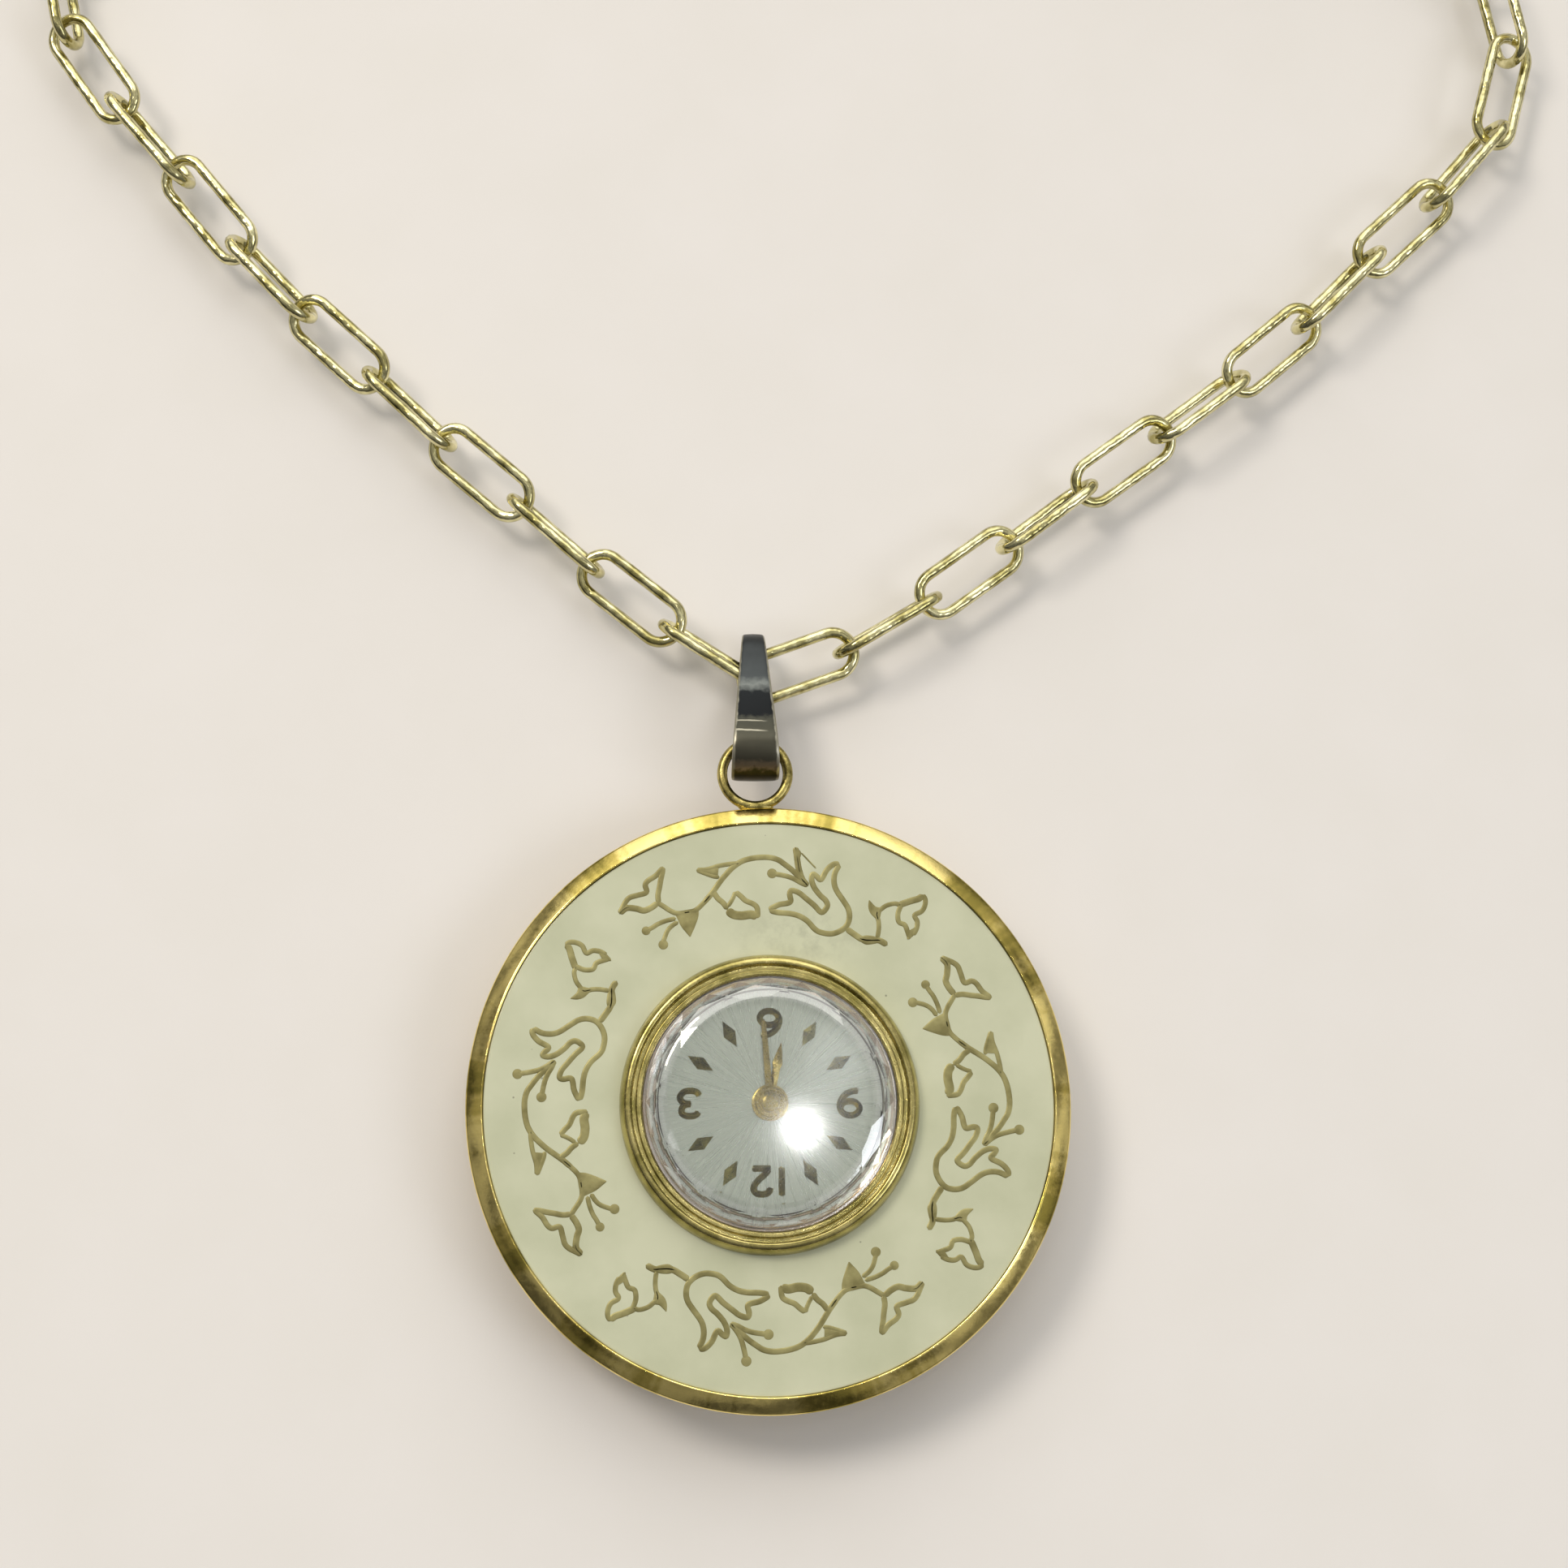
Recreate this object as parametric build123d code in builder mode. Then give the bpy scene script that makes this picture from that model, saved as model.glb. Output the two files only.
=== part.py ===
from build123d import *
from math import asin, atan2, cos, degrees, radians, sin
import os

os.makedirs("parts", exist_ok=True)

# Rounds up to these radii are drawn with straight sides, to keep hidden detail light
small_round = 0.8
small_sides = 8
middle_round = 3.0
middle_sides = 20

# Disc seen from the front: gilt rim, enamel ring, bezel and crystal
disc_radius = 19.0
rim_width = 1.1
rim_edge_height = 0.75
rim_bevel_rise = 0.55
enamel_thickness = 0.6
enamel_clearance = 0.02
bezel_radius = 9.4
bezel_width = 1.45
bezel_height = 1.1
crystal_wall_radius = 7.7
crystal_wall_height = 1.75
crystal_facet_rise = 0.55
crystal_table_radius = 6.3
crystal_thickness = 0.9
facet_count = 16

# Watch case behind the disc
cup_radius = 10.6
cup_wall = 1.0
back_thickness = 0.6
back_lip_height = 0.1
flange_thickness = 0.55
back_overhang = 0.4

# Heights inside the movement, from the back towards the dial
back_gap = 0.25
winding_wheel_thickness = 0.28
running_gap = 0.06
bridge_thickness = 0.6
train_height = 1.75
plate_thickness = 0.75
motion_height = 0.75
dial_thickness = 0.3
movement_radius = 7.6
movement_clearance = 0.02

# Dial furniture and hands
dial_radius = 8.2
numeral_radius = 5.0
numeral_height = 1.9
numeral_width = 1.6
marker_length = 1.8
marker_width = 0.85
marker_thickness = 0.18
hand_lift = 0.22
hand_thickness = 0.12
hand_gap = 0.14
hour_hand_length = 3.8
hour_hand_width = 0.75
minute_hand_length = 5.2
minute_hand_width = 0.6
hour_hub_radius = 1.15
minute_hub_radius = 0.95
hub_cap_radius = 0.6
hub_cap_height = 0.25
minute_hand_angle = 94.3
hour_hand_angle = 79.0

# Going train: pitch radii follow from tooth counts and modules, here as shares of the movement's radius
arbor_radius = 0.18
arbor_clearance = 0.03
tooth_height_share = 0.8
tooth_depth_share = 1.15
tooth_root_share = 0.25
pinion_teeth_limit = 12
wheel_thickness = 0.2
pinion_height = 0.3
barrel_module_share = 0.01382
barrel_teeth = 60
centre_pinion_teeth = 10
centre_module_share = 0.01579
centre_teeth = 48
third_pinion_teeth = 6
third_module_share = 0.01447
third_teeth = 45
fourth_pinion_teeth = 6
fourth_module_share = 0.01316
fourth_teeth = 42
escape_pinion_teeth = 6
escape_radius_share = 0.17105
escape_teeth = 15
escape_depth_share = 0.05263
barrel_angle = 110.0
third_angle = -20.0
fourth_angle = -100.0
escape_angle = 195.0
barrel_height = 1.0
drum_margin_share = 0.02632

# Balance and pallet fork
balance_x_share = -0.43421
balance_y_share = -0.51974
balance_radius_share = 0.28289
balance_rim = 0.3
balance_thickness = 0.22
roller_radius = 0.55
fork_pivot_x_share = -0.25658
fork_pivot_y_share = -0.67763
fork_arm_length_share = 0.14737
pallet_arm_length_share = 0.19737
pallet_spread = 46.0
pallet_bridge_thickness = 0.2
fork_width = 0.24
hairspring_radius_share = 0.16447
hairspring_inner_radius_share = 0.05921
hairspring_turns = 3
hairspring_strip = 0.07
hairspring_height = 0.14

# Motion work under the dial
motion_module_share = 0.01645
cannon_teeth = 8
minute_wheel_teeth = 24
minute_pinion_teeth = 6
hour_wheel_teeth = 24
minute_wheel_angle = 60.0
motion_wheel_thickness = 0.18
cannon_tube_radius = 0.36
hour_tube_radius = 0.62

# Keyless works, on the X axis towards the hidden winding knob
stem_radius = 0.32
stem_drop = 0.8
stem_inner_reach = 2.6
clutch_inset = 4.2
stem_clearance = 0.03
stem_travel = 0.7
knob_radius = 1.45
knob_length = 2.2
knob_gap = 0.5
knob_grooves = 18
knob_groove_depth = 0.12
collar_thickness = 0.3
collar_radius = 0.62
winding_pinion_length = 0.7
clutch_radius = 0.62
clutch_length = 0.75
keyless_gap = 0.12
winding_module_share = 0.02105
winding_teeth = 20
ratchet_teeth = 31
winding_offset_share = 0.01316
click_length_share = 0.15132
lever_thickness = 0.2

# Bridges, screws and jewels
jewel_radius = 0.45
jewel_bore = 0.21
screw_radius = 0.32
screw_head_radius = 0.5
screw_slot = 0.12
screw_head_height = 0.22
bridge_gap = 0.12

# Ring soldered to the rim and the folded strip above it
loop_radius = 2.12
loop_wire = 0.68
loop_bury = 0.12
loop_x = -0.75
bail_strip = 0.4
bail_inner_radius = 1.75
bail_reach = 6.5
bail_back_reach = 0.55
bail_top_width = 1.35
bail_bottom_width = 3.1
table_gap = 0.03
bail_setback = 1.25
junction_slack = 0.16
junction_step = 0.12

# Chain of long oval links
link_length = 8.5
link_width = 3.6
link_wire = 0.74
link_play = 0.36
jointed_links = 7
end_sides = 4
rest_end_sides = 3
clasp_radius = 3.0
clasp_wire = 1.0
end_ring_radius = 1.9
eye_radius = 1.15
eye_bore = 0.65
eye_thickness = 0.5
clasp_gap = 50.0
clasp_gap_turn = -60.0
clasp_steps = 8
bolt_turn = 45.0
bolt_margin = 4.0

# Headings in degrees of each link from the bail outwards; visible links also state their roll
left_headings = [147, 141, 138, 139, 136, 137, 133, 129, 130, 125, 102, 76, 50, 24, 2, 0, 26, 54, 82, 110, 138,
                 166, 182, 178, 180, 176, 182, 178, 180]
right_headings = [20, 31, 36, 37, 36, 37, 40, 45, 43, 49, 74, 100, 126, 152, 178, 180, 154, 126, 98, 70, 42, 14,
                  -2, 2, 0, 4, -2, 2]
left_rolls = [110, 15, -72, 20, -66, 28, -62, 24, -68, 18]
right_rolls = [-15, 75, -18, 68, -25, 60, -24, 70, -18, 68]
left_rest_rolls = [-70, 20]
right_rest_rolls = [-20, 70]

digit_one_share = [(-0.12, -0.5), (0.12, -0.5), (0.12, 0.5), (-0.02, 0.5), (-0.3, 0.26), (-0.3, 0.1), (-0.12, 0.2)]
digit_two_share = [(-0.5, -0.5), (0.5, -0.5), (0.5, -0.32), (-0.16, -0.32), (0.42, 0.08), (0.48, 0.3),
                   (0.24, 0.5), (-0.24, 0.5), (-0.48, 0.28), (-0.46, 0.16), (-0.22, 0.16), (-0.14, 0.32),
                   (0.1, 0.34), (0.22, 0.2), (0.16, 0.06), (-0.5, -0.36)]
digit_three_share = [(-0.5, -0.22), (-0.34, -0.46), (0.0, -0.5), (0.38, -0.44), (0.5, -0.22), (0.3, 0.0),
                     (0.48, 0.24), (0.34, 0.46), (0.0, 0.5), (-0.36, 0.44), (-0.48, 0.22), (-0.24, 0.2),
                     (-0.1, 0.34), (0.12, 0.34), (0.2, 0.22), (0.08, 0.08), (-0.1, 0.08), (-0.1, -0.08),
                     (0.1, -0.08), (0.22, -0.22), (0.12, -0.34), (-0.1, -0.34), (-0.24, -0.2)]
digit_ring_share = 0.3
digit_hole_share = 0.14
digit_tail_share = [(-0.48, 0.06), (-0.3, 0.42), (0.06, 0.5), (0.36, 0.44), (0.32, 0.3), (0.04, 0.32),
                    (-0.16, 0.18), (-0.1, -0.1), (-0.48, -0.2)]
leaf_share = [(0.0, 0.16), (0.35, 0.2), (0.62, 0.5), (0.76, 0.36), (1.0, 0.0), (0.76, -0.36), (0.62, -0.5),
              (0.35, -0.2), (0.0, -0.16)]

# Train, balance and winding wheels grow with the movement that holds them
barrel_module = movement_radius * barrel_module_share
centre_module = movement_radius * centre_module_share
third_module = movement_radius * third_module_share
fourth_module = movement_radius * fourth_module_share
escape_radius = movement_radius * escape_radius_share
escape_depth = movement_radius * escape_depth_share
balance_x = movement_radius * balance_x_share
balance_y = movement_radius * balance_y_share
balance_radius = movement_radius * balance_radius_share
fork_pivot_x = movement_radius * fork_pivot_x_share
fork_pivot_y = movement_radius * fork_pivot_y_share
fork_arm_length = movement_radius * fork_arm_length_share
pallet_arm_length = movement_radius * pallet_arm_length_share
hairspring_radius = movement_radius * hairspring_radius_share
hairspring_inner_radius = movement_radius * hairspring_inner_radius_share
motion_module = movement_radius * motion_module_share
winding_module = movement_radius * winding_module_share
winding_offset = movement_radius * winding_offset_share
click_length = movement_radius * click_length_share
drum_margin = movement_radius * drum_margin_share
clutch_reach = movement_radius - clutch_inset

# Heights worked out from the back upwards
back_top = back_thickness
ratchet_level = back_top + back_gap
bridge_level = ratchet_level + winding_wheel_thickness + running_gap
train_level = bridge_level + bridge_thickness
plate_level = train_level + train_height
plate_top = plate_level + plate_thickness
dial_level = plate_top + motion_height
dial_top = dial_level + dial_thickness
hour_hand_level = dial_top + hand_lift
minute_hand_level = hour_hand_level + hand_thickness + hand_gap
stem_level = plate_level - stem_drop
flange_top = dial_level + running_gap
flange_level = flange_top - flange_thickness
enamel_top = flange_top + enamel_thickness
crystal_inside = minute_hand_level + hand_thickness + hub_cap_height + hand_gap
bezel_top = enamel_top + bezel_height
crystal_wall_top = enamel_top + crystal_wall_height
crystal_top = crystal_wall_top + crystal_facet_rise
crystal_hole_radius = crystal_wall_radius - crystal_thickness

low_level = train_level + running_gap * 2
high_level = plate_level - running_gap - wheel_thickness
barrel_level = high_level - barrel_height + wheel_thickness
middle_level = low_level + wheel_thickness + running_gap + pinion_height
escape_level = high_level - running_gap - wheel_thickness
balance_level = middle_level - wheel_thickness
pallet_bridge_level = balance_level + balance_thickness + running_gap
winding_pinion_radius = stem_level - ratchet_level - winding_wheel_thickness - running_gap
arbor_low = bridge_level + running_gap
arbor_length = plate_level + plate_thickness - running_gap - arbor_low


def polar(distance, angle, start=(0, 0)):
    return (start[0] + distance * cos(radians(angle)), start[1] + distance * sin(radians(angle)))


barrel_distance = (barrel_teeth + centre_pinion_teeth) * barrel_module / 2
third_distance = (centre_teeth + third_pinion_teeth) * centre_module / 2
fourth_distance = (third_teeth + fourth_pinion_teeth) * third_module / 2
escape_distance = (fourth_teeth + escape_pinion_teeth) * fourth_module / 2
minute_wheel_distance = (cannon_teeth + minute_wheel_teeth) * motion_module / 2
hour_module = minute_wheel_distance * 2 / (minute_pinion_teeth + hour_wheel_teeth)
centre_place = (0, 0)
barrel_place = polar(barrel_distance, barrel_angle)
third_place = polar(third_distance, third_angle)
fourth_place = polar(fourth_distance, fourth_angle, third_place)
escape_place = polar(escape_distance, escape_angle, fourth_place)
minute_wheel_place = polar(minute_wheel_distance, minute_wheel_angle)
balance_place = (balance_x, balance_y)
fork_place = (fork_pivot_x, fork_pivot_y)


def slab(sketch, height, mode=Mode.ADD):
    extrude(sketch, amount=height, mode=mode)


def round_outline(radius, mode=Mode.ADD):
    """Circle, or a many-sided outline for arbors, bores and other small rounds."""
    if radius > middle_round:
        Circle(radius, mode=mode)
    else:
        RegularPolygon(radius, small_sides if radius < small_round else middle_sides, mode=mode)


def drum(place, level, radius, height, mode=Mode.ADD):
    with BuildSketch(Plane.XY.offset(level)) as flat:
        with Locations(place):
            round_outline(radius)
    slab(flat.sketch, height, mode)


def collar(place, level, outer, inner, height):
    with BuildSketch(Plane.XY.offset(level)) as flat:
        with Locations(place):
            round_outline(outer)
            round_outline(inner, Mode.SUBTRACT)
    slab(flat.sketch, height)


def toothed(place, level, thickness, teeth, module, first, bore=0, mode=Mode.ADD):
    """Wheel of pointed teeth, one along the angle called first; only a pinion's gaps have a flat floor."""
    pitch_radius = teeth * module / 2
    tip = pitch_radius + module * tooth_height_share
    root = pitch_radius - module * tooth_depth_share
    pitch_angle = 360 / teeth
    points = []
    for tooth in range(teeth):
        middle = first + tooth * pitch_angle
        if teeth > pinion_teeth_limit:
            points.append(polar(root, middle - pitch_angle / 2, place))
            points.append(polar(tip, middle, place))
        else:
            points.append(polar(root, middle - pitch_angle * tooth_root_share, place))
            points.append(polar(tip, middle, place))
            points.append(polar(root, middle + pitch_angle * tooth_root_share, place))
    with BuildSketch(Plane.XY.offset(level)) as flat:
        with BuildLine():
            Polyline(*points, close=True)
        make_face()
        if bore:
            with Locations(place):
                round_outline(bore, Mode.SUBTRACT)
    slab(flat.sketch, thickness, mode)


def pinion(place, level, height, teeth, module, towards):
    toothed(place, level, height, teeth, module, towards + 180 / teeth)


def arbor(place):
    drum(place, arbor_low, arbor_radius, arbor_length)


def plate_outline(points, level, height, mode=Mode.ADD):
    with BuildSketch(Plane.XY.offset(level)) as flat:
        with BuildLine():
            Polyline(*points, close=True)
        make_face()
    slab(flat.sketch, height, mode)


def turned(points):
    with BuildSketch(Plane.XZ) as profile:
        with BuildLine():
            Polyline(*points, close=True)
        make_face()
    revolve(profile.sketch, axis=Axis.Z)


def bar(start, end, width, level, height, mode=Mode.ADD):
    reach = (end[0] - start[0], end[1] - start[1])
    run = (reach[0] ** 2 + reach[1] ** 2) ** 0.5
    side = (-reach[1] / run * width / 2, reach[0] / run * width / 2)
    corners = [(start[0] + side[0], start[1] + side[1]), (start[0] - side[0], start[1] - side[1]),
               (end[0] - side[0], end[1] - side[1]), (end[0] + side[0], end[1] + side[1])]
    plate_outline(corners, level, height, mode)


# Watch case: cup, flange under the enamel and bevelled rim, in one turned piece
cup_inner = movement_radius + movement_clearance
cup_bore = cup_radius - cup_wall
rim_inner = disc_radius - rim_width
dial_seat_radius = dial_radius + movement_clearance
stem_pipe_radius = stem_radius + stem_clearance
with BuildPart() as watch_case:
    turned([(cup_inner, back_top), (cup_radius, back_top), (cup_radius, flange_level),
            (disc_radius, flange_level), (disc_radius, flange_level + rim_edge_height),
            (rim_inner, flange_level + rim_edge_height + rim_bevel_rise),
            (rim_inner, flange_top), (dial_seat_radius, flange_top),
            (dial_seat_radius, dial_level), (cup_inner, dial_level)])
    with BuildSketch(Plane.YZ) as stem_hole:
        with Locations((0, stem_level)):
            round_outline(stem_pipe_radius)
    extrude(stem_hole.sketch, amount=-disc_radius, mode=Mode.SUBTRACT)
watch_case.part.label = "watch_case"

# Snap-on back with a low lip inside the cup
with BuildPart() as case_back:
    drum(centre_place, 0, cup_radius + back_overhang, back_thickness)
    drum(centre_place, back_top, cup_inner - movement_clearance, back_lip_height)
case_back.part.label = "case_back"

# Flat enamel ring held between rim and bezel
with BuildPart() as enamel_ring:
    collar(centre_place, flange_top, rim_inner - enamel_clearance, dial_seat_radius, enamel_thickness)
enamel_ring.part.label = "enamel_ring"

# Rounded bezel around the crystal
bezel_inner = bezel_radius - bezel_width
bezel_share = [(0.0, 0.0), (1.0, 0.0), (1.0, 0.5), (0.62, 1.0), (0.0, 0.8)]
with BuildPart() as bezel:
    turned([(bezel_inner + x * bezel_width, enamel_top + y * bezel_height) for x, y in bezel_share])
bezel.part.label = "bezel"

# Tall crystal: straight wall, ring of flat facets and flat table, hollow below
with BuildPart() as crystal:
    with BuildSketch(Plane.XY.offset(enamel_top)) as crystal_foot:
        Circle(bezel_inner - enamel_clearance)
    extrude(crystal_foot.sketch, amount=bezel_height / 2)
    with BuildSketch(Plane.XY.offset(enamel_top + bezel_height / 2)) as crystal_wall:
        RegularPolygon(crystal_wall_radius, facet_count)
    extrude(crystal_wall.sketch, amount=crystal_wall_height - bezel_height / 2)
    with BuildSketch(Plane.XY.offset(crystal_wall_top)) as facet_foot:
        RegularPolygon(crystal_wall_radius, facet_count)
    facet_run = (crystal_wall_radius - crystal_table_radius) * cos(radians(180 / facet_count))
    extrude(facet_foot.sketch, amount=crystal_facet_rise, taper=degrees(atan2(facet_run, crystal_facet_rise)))
    with BuildSketch(Plane.XY.offset(enamel_top)) as crystal_hollow:
        RegularPolygon(crystal_hole_radius, facet_count)
    slab(crystal_hollow.sketch, crystal_inside - enamel_top, Mode.SUBTRACT)
crystal.part.label = "crystal"

# Dial plate
with BuildPart() as dial:
    collar(centre_place, dial_level, dial_radius, hour_tube_radius + arbor_clearance * 2, dial_thickness)
dial.part.label = "dial"


def digit(points_share, place, width):
    """Raised figure with its top towards -Y, since the dial hangs upside down."""
    points = [(place[0] - x * width, place[1] - y * numeral_height) for x, y in points_share]
    plate_outline(points, dial_top, marker_thickness)


def ring_digit(place, turn):
    """Figure six, or nine when turn is -1: a ring with a tail."""
    ring_place = (place[0], place[1] + turn * numeral_height * (0.5 - digit_ring_share))
    points = [(place[0] - turn * x * numeral_width, place[1] - turn * y * numeral_height)
              for x, y in digit_tail_share]
    plate_outline(points, dial_top, marker_thickness)
    drum(ring_place, dial_top, numeral_height * digit_ring_share, marker_thickness)
    drum(ring_place, dial_top, numeral_height * digit_hole_share, marker_thickness, Mode.SUBTRACT)


# Applied figures 12, 3, 6, 9 and eight lozenges
with BuildPart() as dial_markers:
    digit(digit_one_share, polar(numeral_width * 0.5, 0, (0, -numeral_radius)), numeral_width * 0.7)
    digit(digit_two_share, polar(numeral_width * 0.32, 180, (0, -numeral_radius)), numeral_width * 0.85)
    digit(digit_three_share, (-numeral_radius, 0), numeral_width)
    ring_digit((0, numeral_radius), 1)
    ring_digit((numeral_radius, 0), -1)
    for hour in range(12):
        if hour % 3:
            angle = hour * 30
            ends = [polar(numeral_radius - marker_length / 2, angle),
                    polar(marker_width / 2, angle + 90, polar(numeral_radius, angle)),
                    polar(numeral_radius + marker_length / 2, angle),
                    polar(marker_width / 2, angle - 90, polar(numeral_radius, angle))]
            plate_outline(ends, dial_top, marker_thickness)
dial_markers.part.label = "dial_markers"


def hand(length, width, angle, level):
    points = []
    for x, y in leaf_share:
        along = polar(x * length, angle)
        points.append(polar(y * width, angle + 90, along))
    plate_outline(points, level, hand_thickness)


cannon_low = plate_top + running_gap
cannon_top = minute_hand_level
motion_high = cannon_low + motion_wheel_thickness + running_gap * 2
hour_tube_bore = cannon_tube_radius + arbor_clearance
with BuildPart() as hour_hand:
    hand(hour_hand_length, hour_hand_width, hour_hand_angle, hour_hand_level)
    drum(centre_place, hour_hand_level, hour_hub_radius, hand_thickness)
    drum(centre_place, hour_hand_level, hour_tube_radius, hand_thickness, Mode.SUBTRACT)
hour_hand.part.label = "hour_hand"

with BuildPart() as minute_hand:
    hand(minute_hand_length, minute_hand_width, minute_hand_angle, minute_hand_level)
    drum(centre_place, minute_hand_level, minute_hub_radius, hand_thickness)
    drum(centre_place, minute_hand_level + hand_thickness, hub_cap_radius, hub_cap_height)
minute_hand.part.label = "minute_hand"

with BuildPart() as cannon_pinion:
    toothed(centre_place, cannon_low, motion_wheel_thickness, cannon_teeth, motion_module, minute_wheel_angle)
    drum(centre_place, cannon_low, cannon_tube_radius, cannon_top - cannon_low)
    drum(centre_place, cannon_low, arbor_radius + arbor_clearance, motion_height, Mode.SUBTRACT)
cannon_pinion.part.label = "cannon_pinion"

with BuildPart() as minute_wheel:
    toothed(minute_wheel_place, cannon_low, motion_wheel_thickness, minute_wheel_teeth, motion_module,
            minute_wheel_angle + 180 + 180 / minute_wheel_teeth)
    toothed(minute_wheel_place, cannon_low + motion_wheel_thickness,
            motion_high + motion_wheel_thickness - cannon_low - motion_wheel_thickness,
            minute_pinion_teeth, hour_module, minute_wheel_angle + 180)
    drum(minute_wheel_place, cannon_low, arbor_radius, motion_height, Mode.SUBTRACT)
minute_wheel.part.label = "minute_wheel"

with BuildPart() as hour_wheel:
    toothed(centre_place, motion_high, motion_wheel_thickness, hour_wheel_teeth, hour_module,
            minute_wheel_angle + 180 / hour_wheel_teeth)
    drum(centre_place, motion_high, hour_tube_radius, hour_hand_level + hand_thickness - motion_high)
    drum(centre_place, motion_high, hour_tube_bore, hour_hand_level + hand_thickness - motion_high, Mode.SUBTRACT)
hour_wheel.part.label = "hour_wheel"

# Going train
drum_radius = barrel_teeth * barrel_module / 2 - drum_margin
with BuildPart() as barrel:
    toothed(barrel_place, high_level, wheel_thickness, barrel_teeth, barrel_module,
            barrel_angle + 180, arbor_radius + arbor_clearance)
    collar(barrel_place, barrel_level, drum_radius, arbor_radius + arbor_clearance, barrel_height - wheel_thickness)
barrel.part.label = "barrel"

with BuildPart() as centre_wheel:
    toothed(centre_place, low_level, wheel_thickness, centre_teeth, centre_module, third_angle)
    pinion(centre_place, low_level + wheel_thickness, high_level - low_level, centre_pinion_teeth,
           barrel_module, barrel_angle)
    drum(centre_place, arbor_low, arbor_radius, dial_level - running_gap - arbor_low)
centre_wheel.part.label = "centre_wheel"

with BuildPart() as third_wheel:
    toothed(third_place, high_level, wheel_thickness, third_teeth, third_module, fourth_angle)
    pinion(third_place, low_level - running_gap / 2, pinion_height, third_pinion_teeth, centre_module,
           third_angle + 180)
    arbor(third_place)
third_wheel.part.label = "third_wheel"

with BuildPart() as fourth_wheel:
    toothed(fourth_place, middle_level, wheel_thickness, fourth_teeth, fourth_module, escape_angle)
    pinion(fourth_place, high_level - running_gap / 2, wheel_thickness + running_gap, fourth_pinion_teeth,
           third_module, fourth_angle + 180)
    arbor(fourth_place)
fourth_wheel.part.label = "fourth_wheel"

with BuildPart() as escape_wheel:
    hooks = []
    for tooth in range(escape_teeth):
        turn = tooth * 360 / escape_teeth
        hooks.append(polar(escape_radius - escape_depth, turn, escape_place))
        hooks.append(polar(escape_radius, turn + 150 / escape_teeth, escape_place))
        hooks.append(polar(escape_radius, turn + 190 / escape_teeth, escape_place))
    plate_outline(hooks, escape_level, wheel_thickness)
    pinion(escape_place, middle_level - running_gap / 2, pinion_height, escape_pinion_teeth, fourth_module,
           escape_angle + 180)
    arbor(escape_place)
escape_wheel.part.label = "escape_wheel"

# Balance, its hairspring and the pallet fork
with BuildPart() as balance_wheel:
    collar(balance_place, balance_level, balance_radius, balance_radius - balance_rim, balance_thickness)
    bar(polar(balance_radius - balance_rim / 2, 35, balance_place),
        polar(balance_radius - balance_rim / 2, 215, balance_place), balance_rim, balance_level, balance_thickness)
    drum(balance_place, escape_level, roller_radius, wheel_thickness)
    arbor(balance_place)
balance_wheel.part.label = "balance_wheel"

with BuildPart() as hairspring:
    steps = hairspring_turns * 8
    inner_edge = []
    outer_edge = []
    for step in range(steps + 1):
        share = step / steps
        radius = hairspring_inner_radius + (hairspring_radius - hairspring_inner_radius) * share
        angle = share * hairspring_turns * 360
        inner_edge.append(polar(radius, angle, balance_place))
        outer_edge.append(polar(radius + hairspring_strip, angle, balance_place))
    plate_outline(inner_edge + outer_edge[::-1], train_level + running_gap, hairspring_height)
hairspring.part.label = "hairspring"



def direction(start, end):
    return degrees(atan2(end[1] - start[1], end[0] - start[0]))


fork_angle = direction(fork_place, balance_place)
pallet_angle = direction(fork_place, escape_place)
with BuildPart() as pallet_fork:
    bar(fork_place, polar(fork_arm_length, fork_angle, fork_place), fork_width, escape_level, wheel_thickness)
    for spread in (pallet_spread, -pallet_spread):
        bar(fork_place, polar(pallet_arm_length, pallet_angle + spread, fork_place), fork_width, escape_level,
            wheel_thickness)
    drum(fork_place, pallet_bridge_level, arbor_radius, plate_top - running_gap - pallet_bridge_level)
pallet_fork.part.label = "pallet_fork"

# Winding work seen through the back
ratchet_place = barrel_place
winding_distance = (winding_teeth + ratchet_teeth) * winding_module / 2
winding_place = (barrel_place[0] - (winding_distance ** 2 - (barrel_place[1] - winding_offset) ** 2) ** 0.5,
                 winding_offset)
winding_angle = direction(barrel_place, winding_place)
with BuildPart() as ratchet_wheel:
    toothed(ratchet_place, ratchet_level, winding_wheel_thickness, ratchet_teeth, winding_module, winding_angle)
    drum(ratchet_place, ratchet_level + winding_wheel_thickness, arbor_radius,
         plate_level + plate_thickness / 2 - ratchet_level - winding_wheel_thickness)
ratchet_wheel.part.label = "ratchet_wheel"

with BuildPart() as winding_wheel:
    toothed(winding_place, ratchet_level, winding_wheel_thickness, winding_teeth, winding_module,
            winding_angle + 180 + 180 / winding_teeth)
    drum(winding_place, ratchet_level + winding_wheel_thickness, arbor_radius, bridge_thickness / 2)
winding_wheel.part.label = "winding_wheel"

click_angle = barrel_angle - 48
click_reach = ratchet_teeth * winding_module / 2 + winding_module * tooth_height_share
click_place = polar(click_reach + click_length * 0.75, click_angle, ratchet_place)
with BuildPart() as click:
    bar(click_place, polar(click_reach + running_gap + fork_width / 2, click_angle + 8, ratchet_place),
        fork_width, ratchet_level, winding_wheel_thickness)
    drum(click_place, ratchet_level, screw_radius, winding_wheel_thickness)
    drum(click_place, ratchet_level + winding_wheel_thickness, arbor_radius, bridge_thickness / 2)
click.part.label = "click"


def cylinder_x(start, end, radius, mode=Mode.ADD):
    with BuildSketch(Plane.YZ.offset(start)) as flat:
        with Locations((0, stem_level)):
            round_outline(radius)
    extrude(flat.sketch, amount=end - start, mode=mode)


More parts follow.
